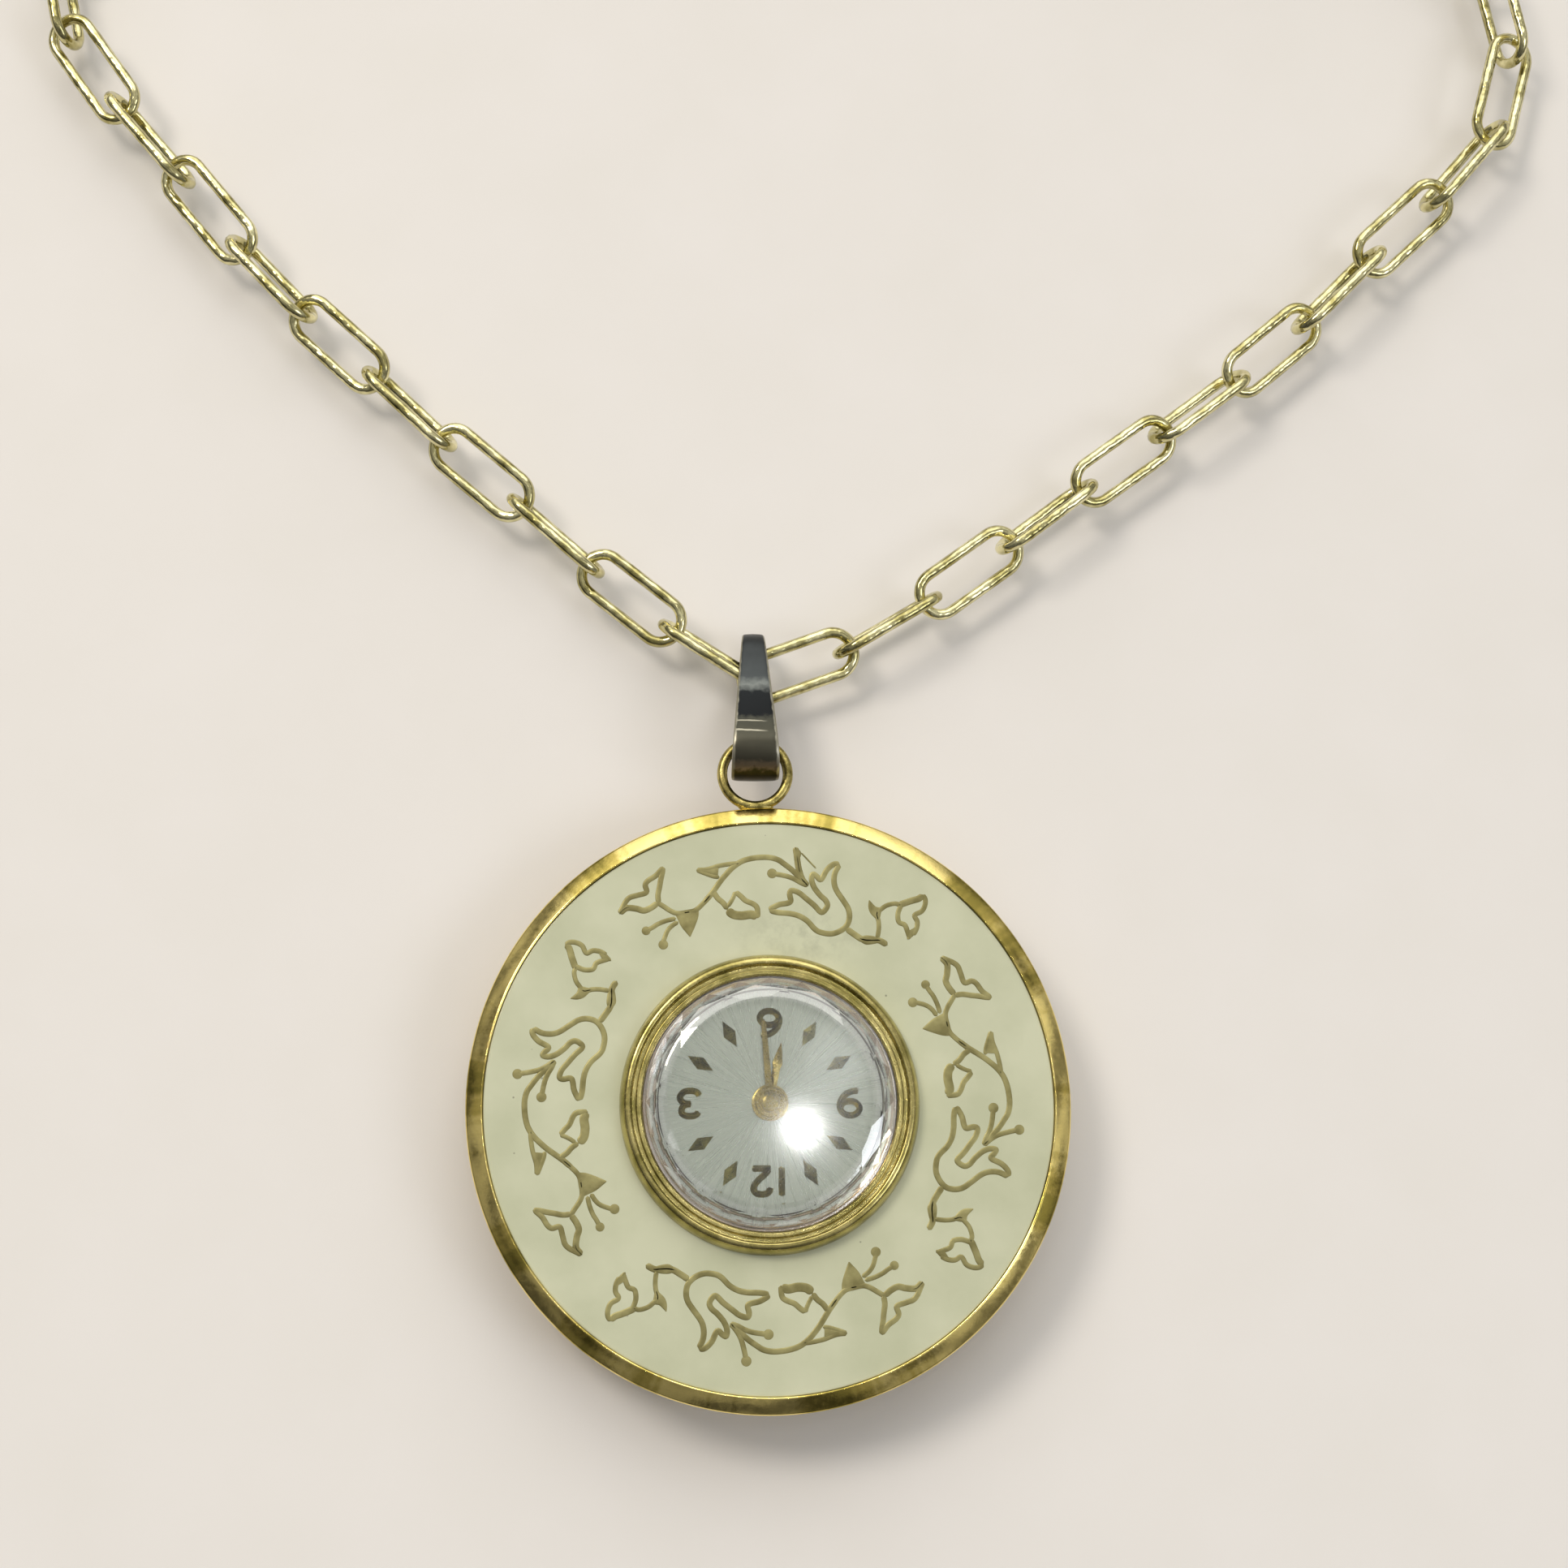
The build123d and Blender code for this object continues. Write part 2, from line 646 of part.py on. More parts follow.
pinion_start = clutch_reach + clutch_length + keyless_gap * 2
collar_start = pinion_start + winding_pinion_length + keyless_gap
knob_start = cup_radius + knob_gap
stem_groove_radius = stem_radius - stem_clearance * 3
with BuildPart() as winding_stem:
    cylinder_x(-knob_start - knob_length / 2, -stem_inner_reach, stem_radius)
    with BuildSketch(Plane.YZ.offset(-collar_start - collar_thickness)) as groove:
        with Locations((0, stem_level)):
            round_outline(stem_radius * 2)
            round_outline(stem_groove_radius, Mode.SUBTRACT)
    extrude(groove.sketch, amount=collar_thickness, mode=Mode.SUBTRACT)
winding_stem.part.label = "winding_stem"

with BuildPart() as winding_knob:
    with BuildSketch(Plane.YZ.offset(-knob_start - knob_length)) as knob_face:
        with Locations((0, stem_level)):
            with BuildLine():
                knob_points = []
                for groove_number in range(knob_grooves * 2):
                    reach = knob_radius - knob_groove_depth * (groove_number % 2)
                    knob_points.append(polar(reach, groove_number * 180 / knob_grooves, (0, stem_level)))
                Polyline(*knob_points, close=True)
            make_face()
    extrude(knob_face.sketch, amount=knob_length)
    cylinder_x(-knob_start - knob_length / 2, -knob_start, stem_radius, Mode.SUBTRACT)
winding_knob.part.label = "winding_knob"

with BuildPart() as stem_collar:
    cylinder_x(-collar_start - collar_thickness + stem_clearance, -collar_start - stem_clearance, collar_radius)
    cylinder_x(-collar_start - collar_thickness + stem_clearance, -collar_start - stem_clearance,
               stem_groove_radius + stem_clearance, Mode.SUBTRACT)
stem_collar.part.label = "stem_collar"

with BuildPart() as winding_pinion:
    cylinder_x(-pinion_start - winding_pinion_length, -pinion_start, winding_pinion_radius)
    cylinder_x(-pinion_start - winding_pinion_length, -pinion_start, stem_radius + stem_clearance, Mode.SUBTRACT)
winding_pinion.part.label = "winding_pinion"

clutch_start = clutch_reach + keyless_gap
with BuildPart() as clutch:
    cylinder_x(-clutch_start - clutch_length, -clutch_start, clutch_radius)
    cylinder_x(-clutch_start - clutch_length, -clutch_start, stem_radius + stem_clearance, Mode.SUBTRACT)
clutch.part.label = "clutch"

# Levers of the hand setting, on the dial side of the main plate
lever_level = plate_top + running_gap
setting_place = (-collar_start + stem_travel, -collar_radius * 2)
with BuildPart() as setting_lever:
    bar(setting_place, (-collar_start - collar_thickness, -collar_radius * 2 - stem_travel), fork_width * 2,
        lever_level, lever_thickness)
    drum(setting_place, lever_level, screw_radius, lever_thickness)
setting_lever.part.label = "setting_lever"

yoke_place = (-movement_radius + screw_head_radius * 2, collar_radius * 3)
with BuildPart() as yoke:
    bar(yoke_place, (-clutch_start - clutch_length / 2, clutch_radius * 2), fork_width, lever_level, lever_thickness)
    drum(yoke_place, lever_level, screw_radius, lever_thickness)
yoke.part.label = "yoke"

# Main plate with its stem slot, pivot holes and the post of the minute wheel
pinion_slot = (pinion_start + winding_pinion_length / 2, winding_pinion_length + keyless_gap * 2,
               (winding_pinion_radius + keyless_gap) * 2)


def slot_for_pinion(level, height):
    with BuildSketch(Plane.XY.offset(level)) as flat:
        with Locations((-pinion_slot[0], 0)):
            Rectangle(pinion_slot[1], pinion_slot[2])
    slab(flat.sketch, height, Mode.SUBTRACT)


def bores(places, level, radius, height):
    for place in places:
        drum(place, level, radius, height, Mode.SUBTRACT)


arbor_bore = arbor_radius + arbor_clearance
train_places = [third_place, fourth_place, escape_place]
with BuildPart() as movement_plate:
    drum(centre_place, plate_level, movement_radius, plate_thickness)
    bores(train_places + [centre_place, balance_place, fork_place, barrel_place], plate_level, arbor_bore,
          plate_thickness)
    slot_for_pinion(plate_level, plate_thickness)
    drum(minute_wheel_place, plate_top, arbor_radius - arbor_clearance, motion_height - running_gap)
movement_plate.part.label = "movement_plate"

# Bridges: outlines cut from the movement's circle, standing on pillars
bridge_circle = movement_radius - bridge_gap
far = movement_radius * 2
fork_turn = direction(centre_place, fork_place)
pillar_radius = screw_head_radius + running_gap
pillar_reach = bridge_circle - pillar_radius - running_gap
hub_corner = (movement_radius * 0.16, -movement_radius * 0.075)
elbow = (-movement_radius * 0.26, -movement_radius * 0.17)
barrel_pillars = [polar(pillar_reach, 30), polar(pillar_reach, 70), polar(pillar_reach, 168)]
train_pillars = [polar(pillar_reach, -12), polar(pillar_reach, -75)]
cock_pillar = polar(pillar_reach, 198)


def bridge_part(outline, level_places, pillars):
    with BuildSketch(Plane.XY.offset(bridge_level)) as flat:
        Circle(bridge_circle)
        with BuildLine():
            Polyline(*outline, close=True)
        make_face(mode=Mode.INTERSECT)
    slab(flat.sketch, bridge_thickness)
    for place in pillars:
        drum(place, train_level, pillar_radius, train_height)
    bores(level_places, bridge_level, jewel_radius, bridge_thickness)


with BuildPart() as barrel_bridge:
    bridge_part([polar(far, 8), polar(far, 50), polar(far, 95), polar(far, 140), polar(far, 186), elbow, hub_corner],
                [], barrel_pillars)
    bores([centre_place, barrel_place, winding_place, click_place], bridge_level, arbor_bore, bridge_thickness)
    slot_for_pinion(bridge_level, bridge_thickness)
barrel_bridge.part.label = "barrel_bridge"

train_corner = (hub_corner[0], hub_corner[1] - bridge_gap)
train_elbow = (-movement_radius * 0.1, elbow[1] + bridge_gap)
with BuildPart() as train_bridge:
    bridge_part([(train_corner[0], train_corner[1]), polar(far, 6.5), polar(far, -20), polar(far, -60),
                 polar(far, -97), train_elbow], train_places, train_pillars)
train_bridge.part.label = "train_bridge"

cock_width = jewel_radius * 3
with BuildPart() as balance_cock:
    bar(cock_pillar, balance_place, cock_width, bridge_level, bridge_thickness)
    drum(balance_place, bridge_level, cock_width / 2, bridge_thickness)
    drum(cock_pillar, bridge_level, pillar_radius, bridge_thickness + train_height)
    drum(balance_place, bridge_level, jewel_radius, bridge_thickness, Mode.SUBTRACT)
balance_cock.part.label = "balance_cock"

pallet_foot = polar(pillar_reach, fork_turn)
with BuildPart() as pallet_bridge:
    bar(fork_place, pallet_foot, arbor_radius * 4, pallet_bridge_level, pallet_bridge_thickness)
    drum(fork_place, pallet_bridge_level, arbor_radius * 2, pallet_bridge_thickness)
    drum(pallet_foot, pallet_bridge_level, screw_radius, plate_level - pallet_bridge_level)
    drum(fork_place, pallet_bridge_level, arbor_bore, pallet_bridge_thickness, Mode.SUBTRACT)
pallet_bridge.part.label = "pallet_bridge"

with BuildPart() as bridge_screws:
    for place in barrel_pillars + train_pillars + [cock_pillar]:
        drum(place, bridge_level - screw_head_height, screw_head_radius, screw_head_height)
        bar(polar(screw_head_radius * 2, 40, place), polar(screw_head_radius * 2, 220, place), screw_slot,
            bridge_level - screw_head_height, screw_head_height / 2, Mode.SUBTRACT)
bridge_screws.part.label = "bridge_screws"

with BuildPart() as jewels:
    for place in train_places + [balance_place]:
        collar(place, bridge_level, jewel_radius, jewel_bore, bridge_thickness)
jewels.part.label = "jewels"

# Ring soldered to the rim, its lowest point buried in the rim
loop_level = flange_level + rim_edge_height / 2
loop_y = (disc_radius ** 2 - loop_x ** 2) ** 0.5 + loop_radius + loop_wire / 2 - loop_bury
with BuildPart() as loop_ring:
    with BuildSketch(Plane.XZ) as wire_profile:
        with Locations((loop_radius, 0)):
            RegularPolygon(loop_wire / 2, 6)
    revolve(wire_profile.sketch, axis=Axis.Z)
    loop_ring.part.position = (loop_x, loop_y, loop_level)
    with BuildSketch(Plane.XY.offset(flange_level)) as rim_cut:
        Circle(disc_radius)
    slab(rim_cut.sketch, rim_edge_height, Mode.SUBTRACT)
loop_ring.part.label = "loop_ring"

# Folded strip: a long loop around the ring's wire, tapered in plan and leaning down to the table
hinge_y = loop_y + loop_radius
bail_outer_radius = bail_inner_radius + bail_strip
bail_drop = loop_level - bail_outer_radius - table_gap
bail_lean = degrees(asin(bail_drop / bail_reach))
bail_run = (cos(radians(bail_lean)), sin(radians(bail_lean)))
bail_plane = Plane(origin=(loop_x, hinge_y, loop_level), x_dir=(0, bail_run[0], -bail_run[1]), z_dir=(1, 0, 0))
bail_length = bail_reach + bail_back_reach
bail_middle = (bail_reach - bail_back_reach) / 2
with BuildPart() as bail:
    with BuildSketch(bail_plane) as bail_loop:
        with Locations((bail_middle, 0)):
            SlotCenterToCenter(bail_length, bail_outer_radius * 2)
            SlotCenterToCenter(bail_length, bail_inner_radius * 2, mode=Mode.SUBTRACT)
    extrude(bail_loop.sketch, amount=bail_bottom_width / 2, both=True)
    taper_plane = Plane(origin=(loop_x, hinge_y, loop_level), x_dir=(0, bail_run[0], -bail_run[1]),
                        z_dir=(0, bail_run[1], bail_run[0]))
    low_end = -bail_back_reach - bail_outer_radius
    high_end = bail_reach + bail_outer_radius
    with BuildSketch(taper_plane) as bail_taper:
        with BuildLine():
            Polyline((low_end, bail_bottom_width / 2), (high_end, bail_top_width / 2),
                     (high_end, -bail_top_width / 2), (low_end, -bail_bottom_width / 2), close=True)
        make_face()
    extrude(bail_taper.sketch, amount=bail_outer_radius, both=True, mode=Mode.INTERSECT)
bail.part.label = "bail"

# Chain: where two links hook, their end bends overlap by the wire and a little play
hook = (link_wire + link_play) / 2
link_pitch = link_length - link_wire - hook * 2
junction_reach = bail_reach - bail_setback
chain_level = loop_level - junction_reach * bail_run[1]
junction = (loop_x, hinge_y + junction_reach * bail_run[0])


def route(headings, step=0):
    """Junctions along one side of the chain, from the one inside the bail."""
    places = [polar(-junction_slack, headings[0], (junction[0], junction[1] - step))]
    for heading in headings:
        places.append(polar(link_pitch, heading, places[-1]))
    return places


def link_plane(place, heading, roll):
    side = (-sin(radians(heading)), cos(radians(heading)))
    lean = sin(radians(roll))
    return Plane(origin=(place[0], place[1], chain_level), x_dir=(cos(radians(heading)), sin(radians(heading)), 0),
                 z_dir=(side[0] * lean, side[1] * lean, cos(radians(roll))))


def link_middle(start, heading):
    return polar(link_pitch / 2, heading, start)


def oval_points(length, width, sides):
    """Long oval whose round ends are drawn with a few straight sides, each touching the true bend."""
    end_radius = width / 2
    corner_radius = end_radius / cos(radians(90 / sides))
    points = []
    for end in (0, 180):
        for corner in range(sides):
            turn = end - 90 + (corner + 0.5) * 180 / sides
            points.append(polar(corner_radius, turn, polar(length / 2 - end_radius, end)))
    return points


def oval_link(start, heading, roll, sides):
    with BuildSketch(link_plane(link_middle(start, heading), heading, roll)) as oval:
        with BuildLine():
            Polyline(*oval_points(link_length, link_width, sides), close=True)
        make_face()
        with BuildLine():
            Polyline(*oval_points(link_length - link_wire * 2, link_width - link_wire * 2, sides), close=True)
        make_face(mode=Mode.SUBTRACT)
    extrude(oval.sketch, amount=link_wire / 2, both=True)


left_route = route(left_headings)
right_route = route(right_headings, junction_step)
chain_links = {}
for side, headings, rolls, places in (("left", left_headings, left_rolls, left_route),
                                      ("right", right_headings, right_rolls, right_route)):
    for number in range(jointed_links):
        with BuildPart() as link:
            oval_link(places[number], headings[number], rolls[number], end_sides)
        link.part.label = "link_" + side + "_" + str(number + 1)
        chain_links[link.part.label] = link.part


def rest_of(headings, rolls, rest_rolls, places):
    for number in range(jointed_links, len(headings)):
        roll = rolls[number] if number < len(rolls) else rest_rolls[number % 2]
        oval_link(places[number], headings[number], roll, rest_end_sides)


with BuildPart() as chain_left:
    rest_of(left_headings, left_rolls, left_rest_rolls, left_route)
chain_left.part.label = "chain_left"

with BuildPart() as chain_right:
    rest_of(right_headings, right_rolls, right_rest_rolls, right_route)
chain_right.part.label = "chain_right"

# Spring ring clasp at the left end: C-shaped channel, eye for the last link, and sliding bolt
left_end = left_headings[-1]
eye_place = polar(hook, left_end, left_route[-1])
clasp_place = polar(clasp_radius + eye_radius - clasp_wire / 2, left_end, eye_place)
channel_middle = clasp_radius - clasp_wire / 2
clasp_foot = chain_level - clasp_wire / 2
gap_middle = left_end + clasp_gap_turn


def arc_band(place, level, outer, inner, start, end, height, mode=Mode.ADD):
    """Flat ring sector from angle start to angle end."""
    steps = [start + (end - start) * share / clasp_steps for share in range(clasp_steps + 1)]
    points = [polar(outer, turn, place) for turn in steps] + [polar(inner, turn, place) for turn in steps[::-1]]
    plate_outline(points, level, height, mode)


channel_outer = channel_middle + clasp_wire / 4
channel_inner = channel_middle - clasp_wire / 4
band_start = gap_middle + clasp_gap / 2
band_end = gap_middle - clasp_gap / 2 + 360
with BuildPart() as clasp:
    arc_band(clasp_place, clasp_foot, clasp_radius, clasp_radius - clasp_wire, band_start, band_end, clasp_wire)
    arc_band(clasp_place, clasp_foot + clasp_wire / 3, channel_outer + link_play / 4, channel_inner - link_play / 4,
             band_start, band_start + bolt_turn + clasp_gap, clasp_wire, Mode.SUBTRACT)
    drum(eye_place, chain_level - eye_thickness / 2, eye_radius, eye_thickness)
    drum(eye_place, chain_level - clasp_wire, eye_bore, clasp_wire * 2, Mode.SUBTRACT)
clasp.part.label = "clasp"

with BuildPart() as clasp_bolt:
    arc_band(clasp_place, clasp_foot + clasp_wire / 3 + running_gap, channel_outer, channel_inner,
             band_start - clasp_gap + bolt_margin, band_start + bolt_turn, clasp_wire / 3)
    arc_band(clasp_place, clasp_foot + clasp_wire / 3 + running_gap, channel_outer, channel_inner,
             band_start + bolt_turn - bolt_margin * 2, band_start + bolt_turn, clasp_wire)
clasp_bolt.part.label = "clasp_bolt"

# Plain ring at the right end
right_end = right_headings[-1]
end_ring_middle = end_ring_radius - link_wire / 2
with BuildPart() as end_ring:
    with BuildSketch(link_plane(polar(end_ring_middle - hook, right_end, right_route[-1]), right_end,
                                right_rest_rolls[0])) as end_profile:
        round_outline(end_ring_radius)
        round_outline(end_ring_radius - link_wire, Mode.SUBTRACT)
    extrude(end_profile.sketch, amount=link_wire / 2, both=True)
end_ring.part.label = "end_ring"

pieces = [watch_case, case_back, enamel_ring, bezel, crystal, dial, dial_markers, hour_hand, minute_hand,
          cannon_pinion, minute_wheel, hour_wheel, movement_plate, barrel_bridge, train_bridge, balance_cock,
          pallet_bridge, bridge_screws, jewels, barrel, centre_wheel, third_wheel, fourth_wheel, escape_wheel,
          balance_wheel, hairspring, pallet_fork, ratchet_wheel, winding_wheel, click, winding_stem, winding_knob,
          stem_collar, winding_pinion, clutch, setting_lever, yoke, loop_ring, bail, chain_left, chain_right,
          clasp, clasp_bolt, end_ring]
for piece in pieces:
    export_step(piece.part, "parts/" + piece.part.label + ".step")
for label, solid in chain_links.items():
    export_step(solid, "parts/" + label + ".step")
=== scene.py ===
import math

import bmesh
import bpy
import numpy as np
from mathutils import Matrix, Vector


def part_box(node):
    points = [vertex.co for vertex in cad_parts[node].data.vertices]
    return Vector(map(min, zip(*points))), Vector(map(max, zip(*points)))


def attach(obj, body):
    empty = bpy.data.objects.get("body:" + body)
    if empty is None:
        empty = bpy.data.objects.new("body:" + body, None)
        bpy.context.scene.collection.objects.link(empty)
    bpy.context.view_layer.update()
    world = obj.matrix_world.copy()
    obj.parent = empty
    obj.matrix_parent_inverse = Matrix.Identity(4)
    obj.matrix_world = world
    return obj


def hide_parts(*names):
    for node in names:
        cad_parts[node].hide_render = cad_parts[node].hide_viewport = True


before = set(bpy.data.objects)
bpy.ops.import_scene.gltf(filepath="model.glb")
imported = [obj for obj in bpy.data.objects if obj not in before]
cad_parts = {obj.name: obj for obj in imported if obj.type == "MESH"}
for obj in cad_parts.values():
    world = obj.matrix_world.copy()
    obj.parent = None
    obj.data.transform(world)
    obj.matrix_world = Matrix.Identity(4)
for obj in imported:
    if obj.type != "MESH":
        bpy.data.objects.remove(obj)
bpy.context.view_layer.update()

bl_info = {
    "name": "Pendant watch",
    "version": (1, 0, 0),
    "blender": (4, 5, 0),
    "location": "3D View > Sidebar > Pendant watch",
    "description": "Dresses the pendant watch, its bail and its chain",
    "category": "Object",
}

MM = 0.001
UP = np.array((0.0, 0.0, 1.0))
RIGHT = np.array((1.0, 0.0, 0.0))

# Heights, radii and places in mm that the dressed pieces take from the model, and the knob's number of flutes
BACK_TOP = 0.60
FLANGE_LOW = 4.55
FLANGE_TOP = 5.10
DIAL_LOW = 5.04
DIAL_TOP = 5.34
ENAMEL_TOP = 5.70
HOUR_LEVEL = 5.56
MINUTE_LEVEL = 5.82
TABLE_TOP = 8.00
CUP_INNER = 9.60
CUP_RADIUS = 10.60
BACK_RADIUS = 10.99
DISC_RADIUS = 19.00
RIM_INNER = 17.90
SEAT_RADIUS = 8.22
ENAMEL_RADIUS = 17.88
BEZEL_INNER = 7.95
BEZEL_RADIUS = 9.40
CRYSTAL_RADIUS = 7.70
DIAL_HOLE = 0.45
DIAL_RADIUS = 8.20
STEM_HEIGHT = 2.74
KNOB_FLUTES = 18
MODEL_WIRE = 0.74
FIGURE_RADIUS = 5.00
FIGURE_FOOT = 5.29
RING_MIDDLE = np.array((-0.75, 21.33, 4.925))
SOLDER_MIDDLE = np.array((-0.72, 19.16, 4.925))
HINGE = np.array((-0.75, 23.45, 4.925))
BAIL_LEAN = np.array((0.0, 0.9065, -0.4223))
BAIL_UP = np.array((0.0, 0.4223, 0.9065))

# The stage: half the table's side in mm, and the lens in pixels of the 1932 pixel frame
TABLE_REACH = 1500.0
FOCUS_PIXELS = 3214

# Factor from a stroke's traced width to the width of its relief, whose edges slope away
VINE_SWELL = 1.35

# The vine's top motif, in mm on the enamel: (width of the stroke, its middle line)
VINE_STROKES = [
    (0.26, [(-6.95, 12.72), (-7.0, 13.24), (-6.9, 13.78), (-6.82, 14.26), (-6.72, 14.74), (-6.75, 14.92),
            (-7.14, 14.5), (-7.62, 14.19), (-7.81, 13.89), (-7.73, 13.43), (-8.3, 13.24), (-8.77, 13.1),
            (-9.04, 12.83), (-9.25, 12.42), (-9.44, 12.05)]),
    (0.30, [(-9.44, 12.05), (-8.98, 12.41), (-8.36, 12.37), (-7.89, 12.25), (-7.41, 12.45), (-7.0, 12.76)]),
    (0.24, [(-7.07, 12.79), (-6.6, 12.49), (-6.19, 12.22), (-5.78, 12.07), (-5.24, 12.11), (-4.62, 12.27),
            (-4.08, 12.76), (-3.67, 13.24)]),
    (0.27, [(-4.08, 12.76), (-3.67, 13.24), (-3.37, 13.65), (-2.99, 14.19), (-2.65, 14.6), (-2.18, 15.08),
            (-1.63, 15.44), (-1.02, 15.62), (-0.34, 15.69), (0.2, 15.66), (0.66, 15.52), (1.0, 15.29),
            (1.52, 14.88), (1.97, 14.43), (2.34, 14.06), (2.58, 13.85)]),
    (0.20, [(-4.56, 14.86), (-4.01, 14.64), (-3.47, 14.45), (-3.09, 14.4)]),
    (0.22, [(-4.56, 14.87), (-3.88, 14.91), (-3.06, 15.15), (-2.18, 15.28), (-1.84, 15.25)]),
    (0.27, [(-3.5, 13.48), (-3.2, 13.03), (-2.86, 12.73), (-2.57, 12.32)]),
    (0.20, [(-2.58, 12.49), (-2.35, 12.83), (-2.18, 13.17), (-2.09, 13.46)]),
    (0.26, [(-2.09, 13.46), (-1.74, 13.17), (-1.43, 12.88), (-0.95, 12.66), (-0.7, 12.39), (-0.67, 11.74)]),
    (0.42, [(-2.6, 12.32), (-2.25, 12.0), (-1.7, 11.91), (-1.09, 11.98), (-0.67, 11.81)]),
    (0.22, [(-7.75, 10.95), (-7.31, 11.18), (-7.0, 11.38), (-6.46, 11.6), (-5.85, 11.74)]),
    (0.22, [(-6.66, 10.06), (-6.61, 10.38), (-6.41, 10.92), (-6.12, 11.26), (-5.71, 11.53)]),
    (0.24, [(0.27, 14.64), (1.15, 14.47), (1.67, 14.28), (2.12, 14.02), (2.57, 13.83)]),
    (0.27, [(4.59, 15.23), (4.22, 15.23), (3.77, 14.86), (3.39, 14.24), (3.09, 14.47), (2.87, 14.58),
            (2.79, 14.2), (2.95, 13.72), (3.31, 13.23), (3.68, 12.86), (3.76, 12.49), (3.4, 12.11),
            (2.94, 12.56), (2.42, 13.01), (1.97, 13.38), (1.52, 13.53), (1.38, 13.31), (1.44, 12.86),
            (1.23, 12.71), (0.71, 12.62), (0.26, 12.41), (0.07, 12.25)]),
    (0.27, [(0.07, 12.25), (0.63, 12.11), (1.38, 12.04), (1.97, 11.88), (2.49, 11.55), (2.94, 11.05),
            (3.31, 10.83), (3.98, 10.73), (4.58, 10.92), (5.01, 11.29), (5.17, 11.82), (5.1, 12.34),
            (4.8, 12.86), (4.37, 13.53), (4.22, 14.06), (4.28, 14.65), (4.59, 15.23)]),
    (0.30, [(4.95, 11.07), (5.47, 10.68), (5.99, 10.36), (6.59, 10.29), (7.04, 10.29), (7.56, 9.99)]),
    (0.22, [(6.92, 10.43), (7.02, 10.99), (7.02, 11.52), (6.92, 12.04), (7.22, 12.32), (7.56, 12.55),
            (8.08, 12.67), (8.45, 12.56)]),
    (0.32, [(8.3, 12.56), (9.05, 12.82), (9.64, 13.0), (9.86, 13.25)]),
    (0.24, [(9.86, 13.25), (10.03, 12.94), (10.0, 12.55), (9.79, 12.17), (9.33, 11.91), (9.49, 11.5),
            (9.43, 11.05), (9.19, 10.62)]),
    (0.24, [(8.97, 10.47), (8.86, 10.85), (8.69, 11.28), (8.32, 11.48), (8.26, 11.97), (8.41, 12.41),
            (8.54, 12.62)]),
]

# Its filled shapes: (left edge, right edge), from one end to the other
VINE_FILLS = [
    ([(-5.98, 12.15), (-5.78, 11.74), (-5.51, 11.19), (-5.0, 10.57)],
     [(-4.41, 12.42), (-4.43, 11.87), (-4.66, 11.19), (-4.93, 10.57)]),
    ([(-4.56, 14.88), (-4.08, 14.93), (-3.54, 15.02), (-3.13, 15.15)],
     [(-4.56, 14.84), (-4.08, 14.68), (-3.6, 14.52), (-3.2, 14.43)]),
    ([(6.42, 12.88), (6.38, 12.45), (6.51, 12.04), (6.89, 11.63)],
     [(6.48, 12.88), (6.85, 12.49), (7.22, 12.34), (7.09, 11.63)]),
    ([(5.69, 10.47), (6.14, 10.62), (6.66, 10.58), (7.11, 10.43)],
     [(5.69, 10.36), (6.14, 10.04), (6.66, 10.06), (7.11, 10.17)]),
    ([(8.75, 10.81), (8.79, 10.55), (8.82, 10.36)],
     [(9.49, 11.22), (9.31, 10.7), (8.97, 10.36)]),
    ([(-9.44, 12.08), (-9.25, 12.42), (-8.98, 12.69)],
     [(-9.42, 12.01), (-8.98, 12.32), (-8.64, 12.32)]),
]
VINE_BERRIES = [((-7.75, 10.95), 0.29), ((-6.66, 10.06), 0.32), ((0.27, 14.64), 0.33)]

# Over the tulip the top motif has a filled spike, and the others a second stamen
VINE_SPIKE = (0.30, [(1.76, 16.35), (1.84, 15.96), (1.91, 15.32), (2.01, 14.8), (2.2, 14.24), (2.53, 13.83)])
VINE_SPIKE_VEIN = (0.08, [(2.12, 16.0), (2.57, 15.51), (3.09, 14.95)])
VINE_SPIKE_FILL = ([(1.71, 16.31), (1.71, 15.96), (1.82, 15.32), (1.93, 14.73)],
                   [(1.82, 16.31), (2.14, 16.0), (2.03, 15.4), (2.12, 14.73)])
VINE_STAMEN = (0.24, [(1.72, 16.1), (1.85, 15.3), (2.05, 14.6), (2.53, 13.83)])
VINE_STAMEN_BERRY = ((1.72, 16.15), 0.33)

# The motif's four places: (side, turn in degrees, shift in mm)
VINE_SIDES = [("top", 0.0, (0.0, 0.0)), ("left", 90.0, (0.4, 0.2)), ("bottom", 183.0, (-0.7, 0.5)),
              ("right", 273.0, (-0.6, -0.85))]

# Middle lines of the applied figures, upright about their own middles, in mm
FIGURE_ONE = [[(0.0, -0.93), (0.0, -0.3), (0.0, 0.3), (0.0, 0.93)]]
FIGURE_TWO = [[(-0.52, 0.36), (-0.48, 0.6), (-0.26, 0.76), (0.05, 0.79), (0.36, 0.7), (0.5, 0.46),
               (0.42, 0.18), (0.12, -0.15), (-0.24, -0.46), (-0.5, -0.78)],
              [(-0.62, -0.8), (-0.2, -0.8), (0.2, -0.8), (0.6, -0.8)]]
FIGURE_THREE = [[(-0.55, 0.5), (-0.4, 0.7), (-0.1, 0.78), (0.26, 0.75), (0.5, 0.58), (0.48, 0.28),
                 (0.26, 0.08), (-0.1, 0.03)],
                [(-0.1, 0.03), (0.3, -0.01), (0.56, -0.2), (0.6, -0.46), (0.36, -0.72), (-0.04, -0.79),
                 (-0.42, -0.71), (-0.62, -0.46)]]
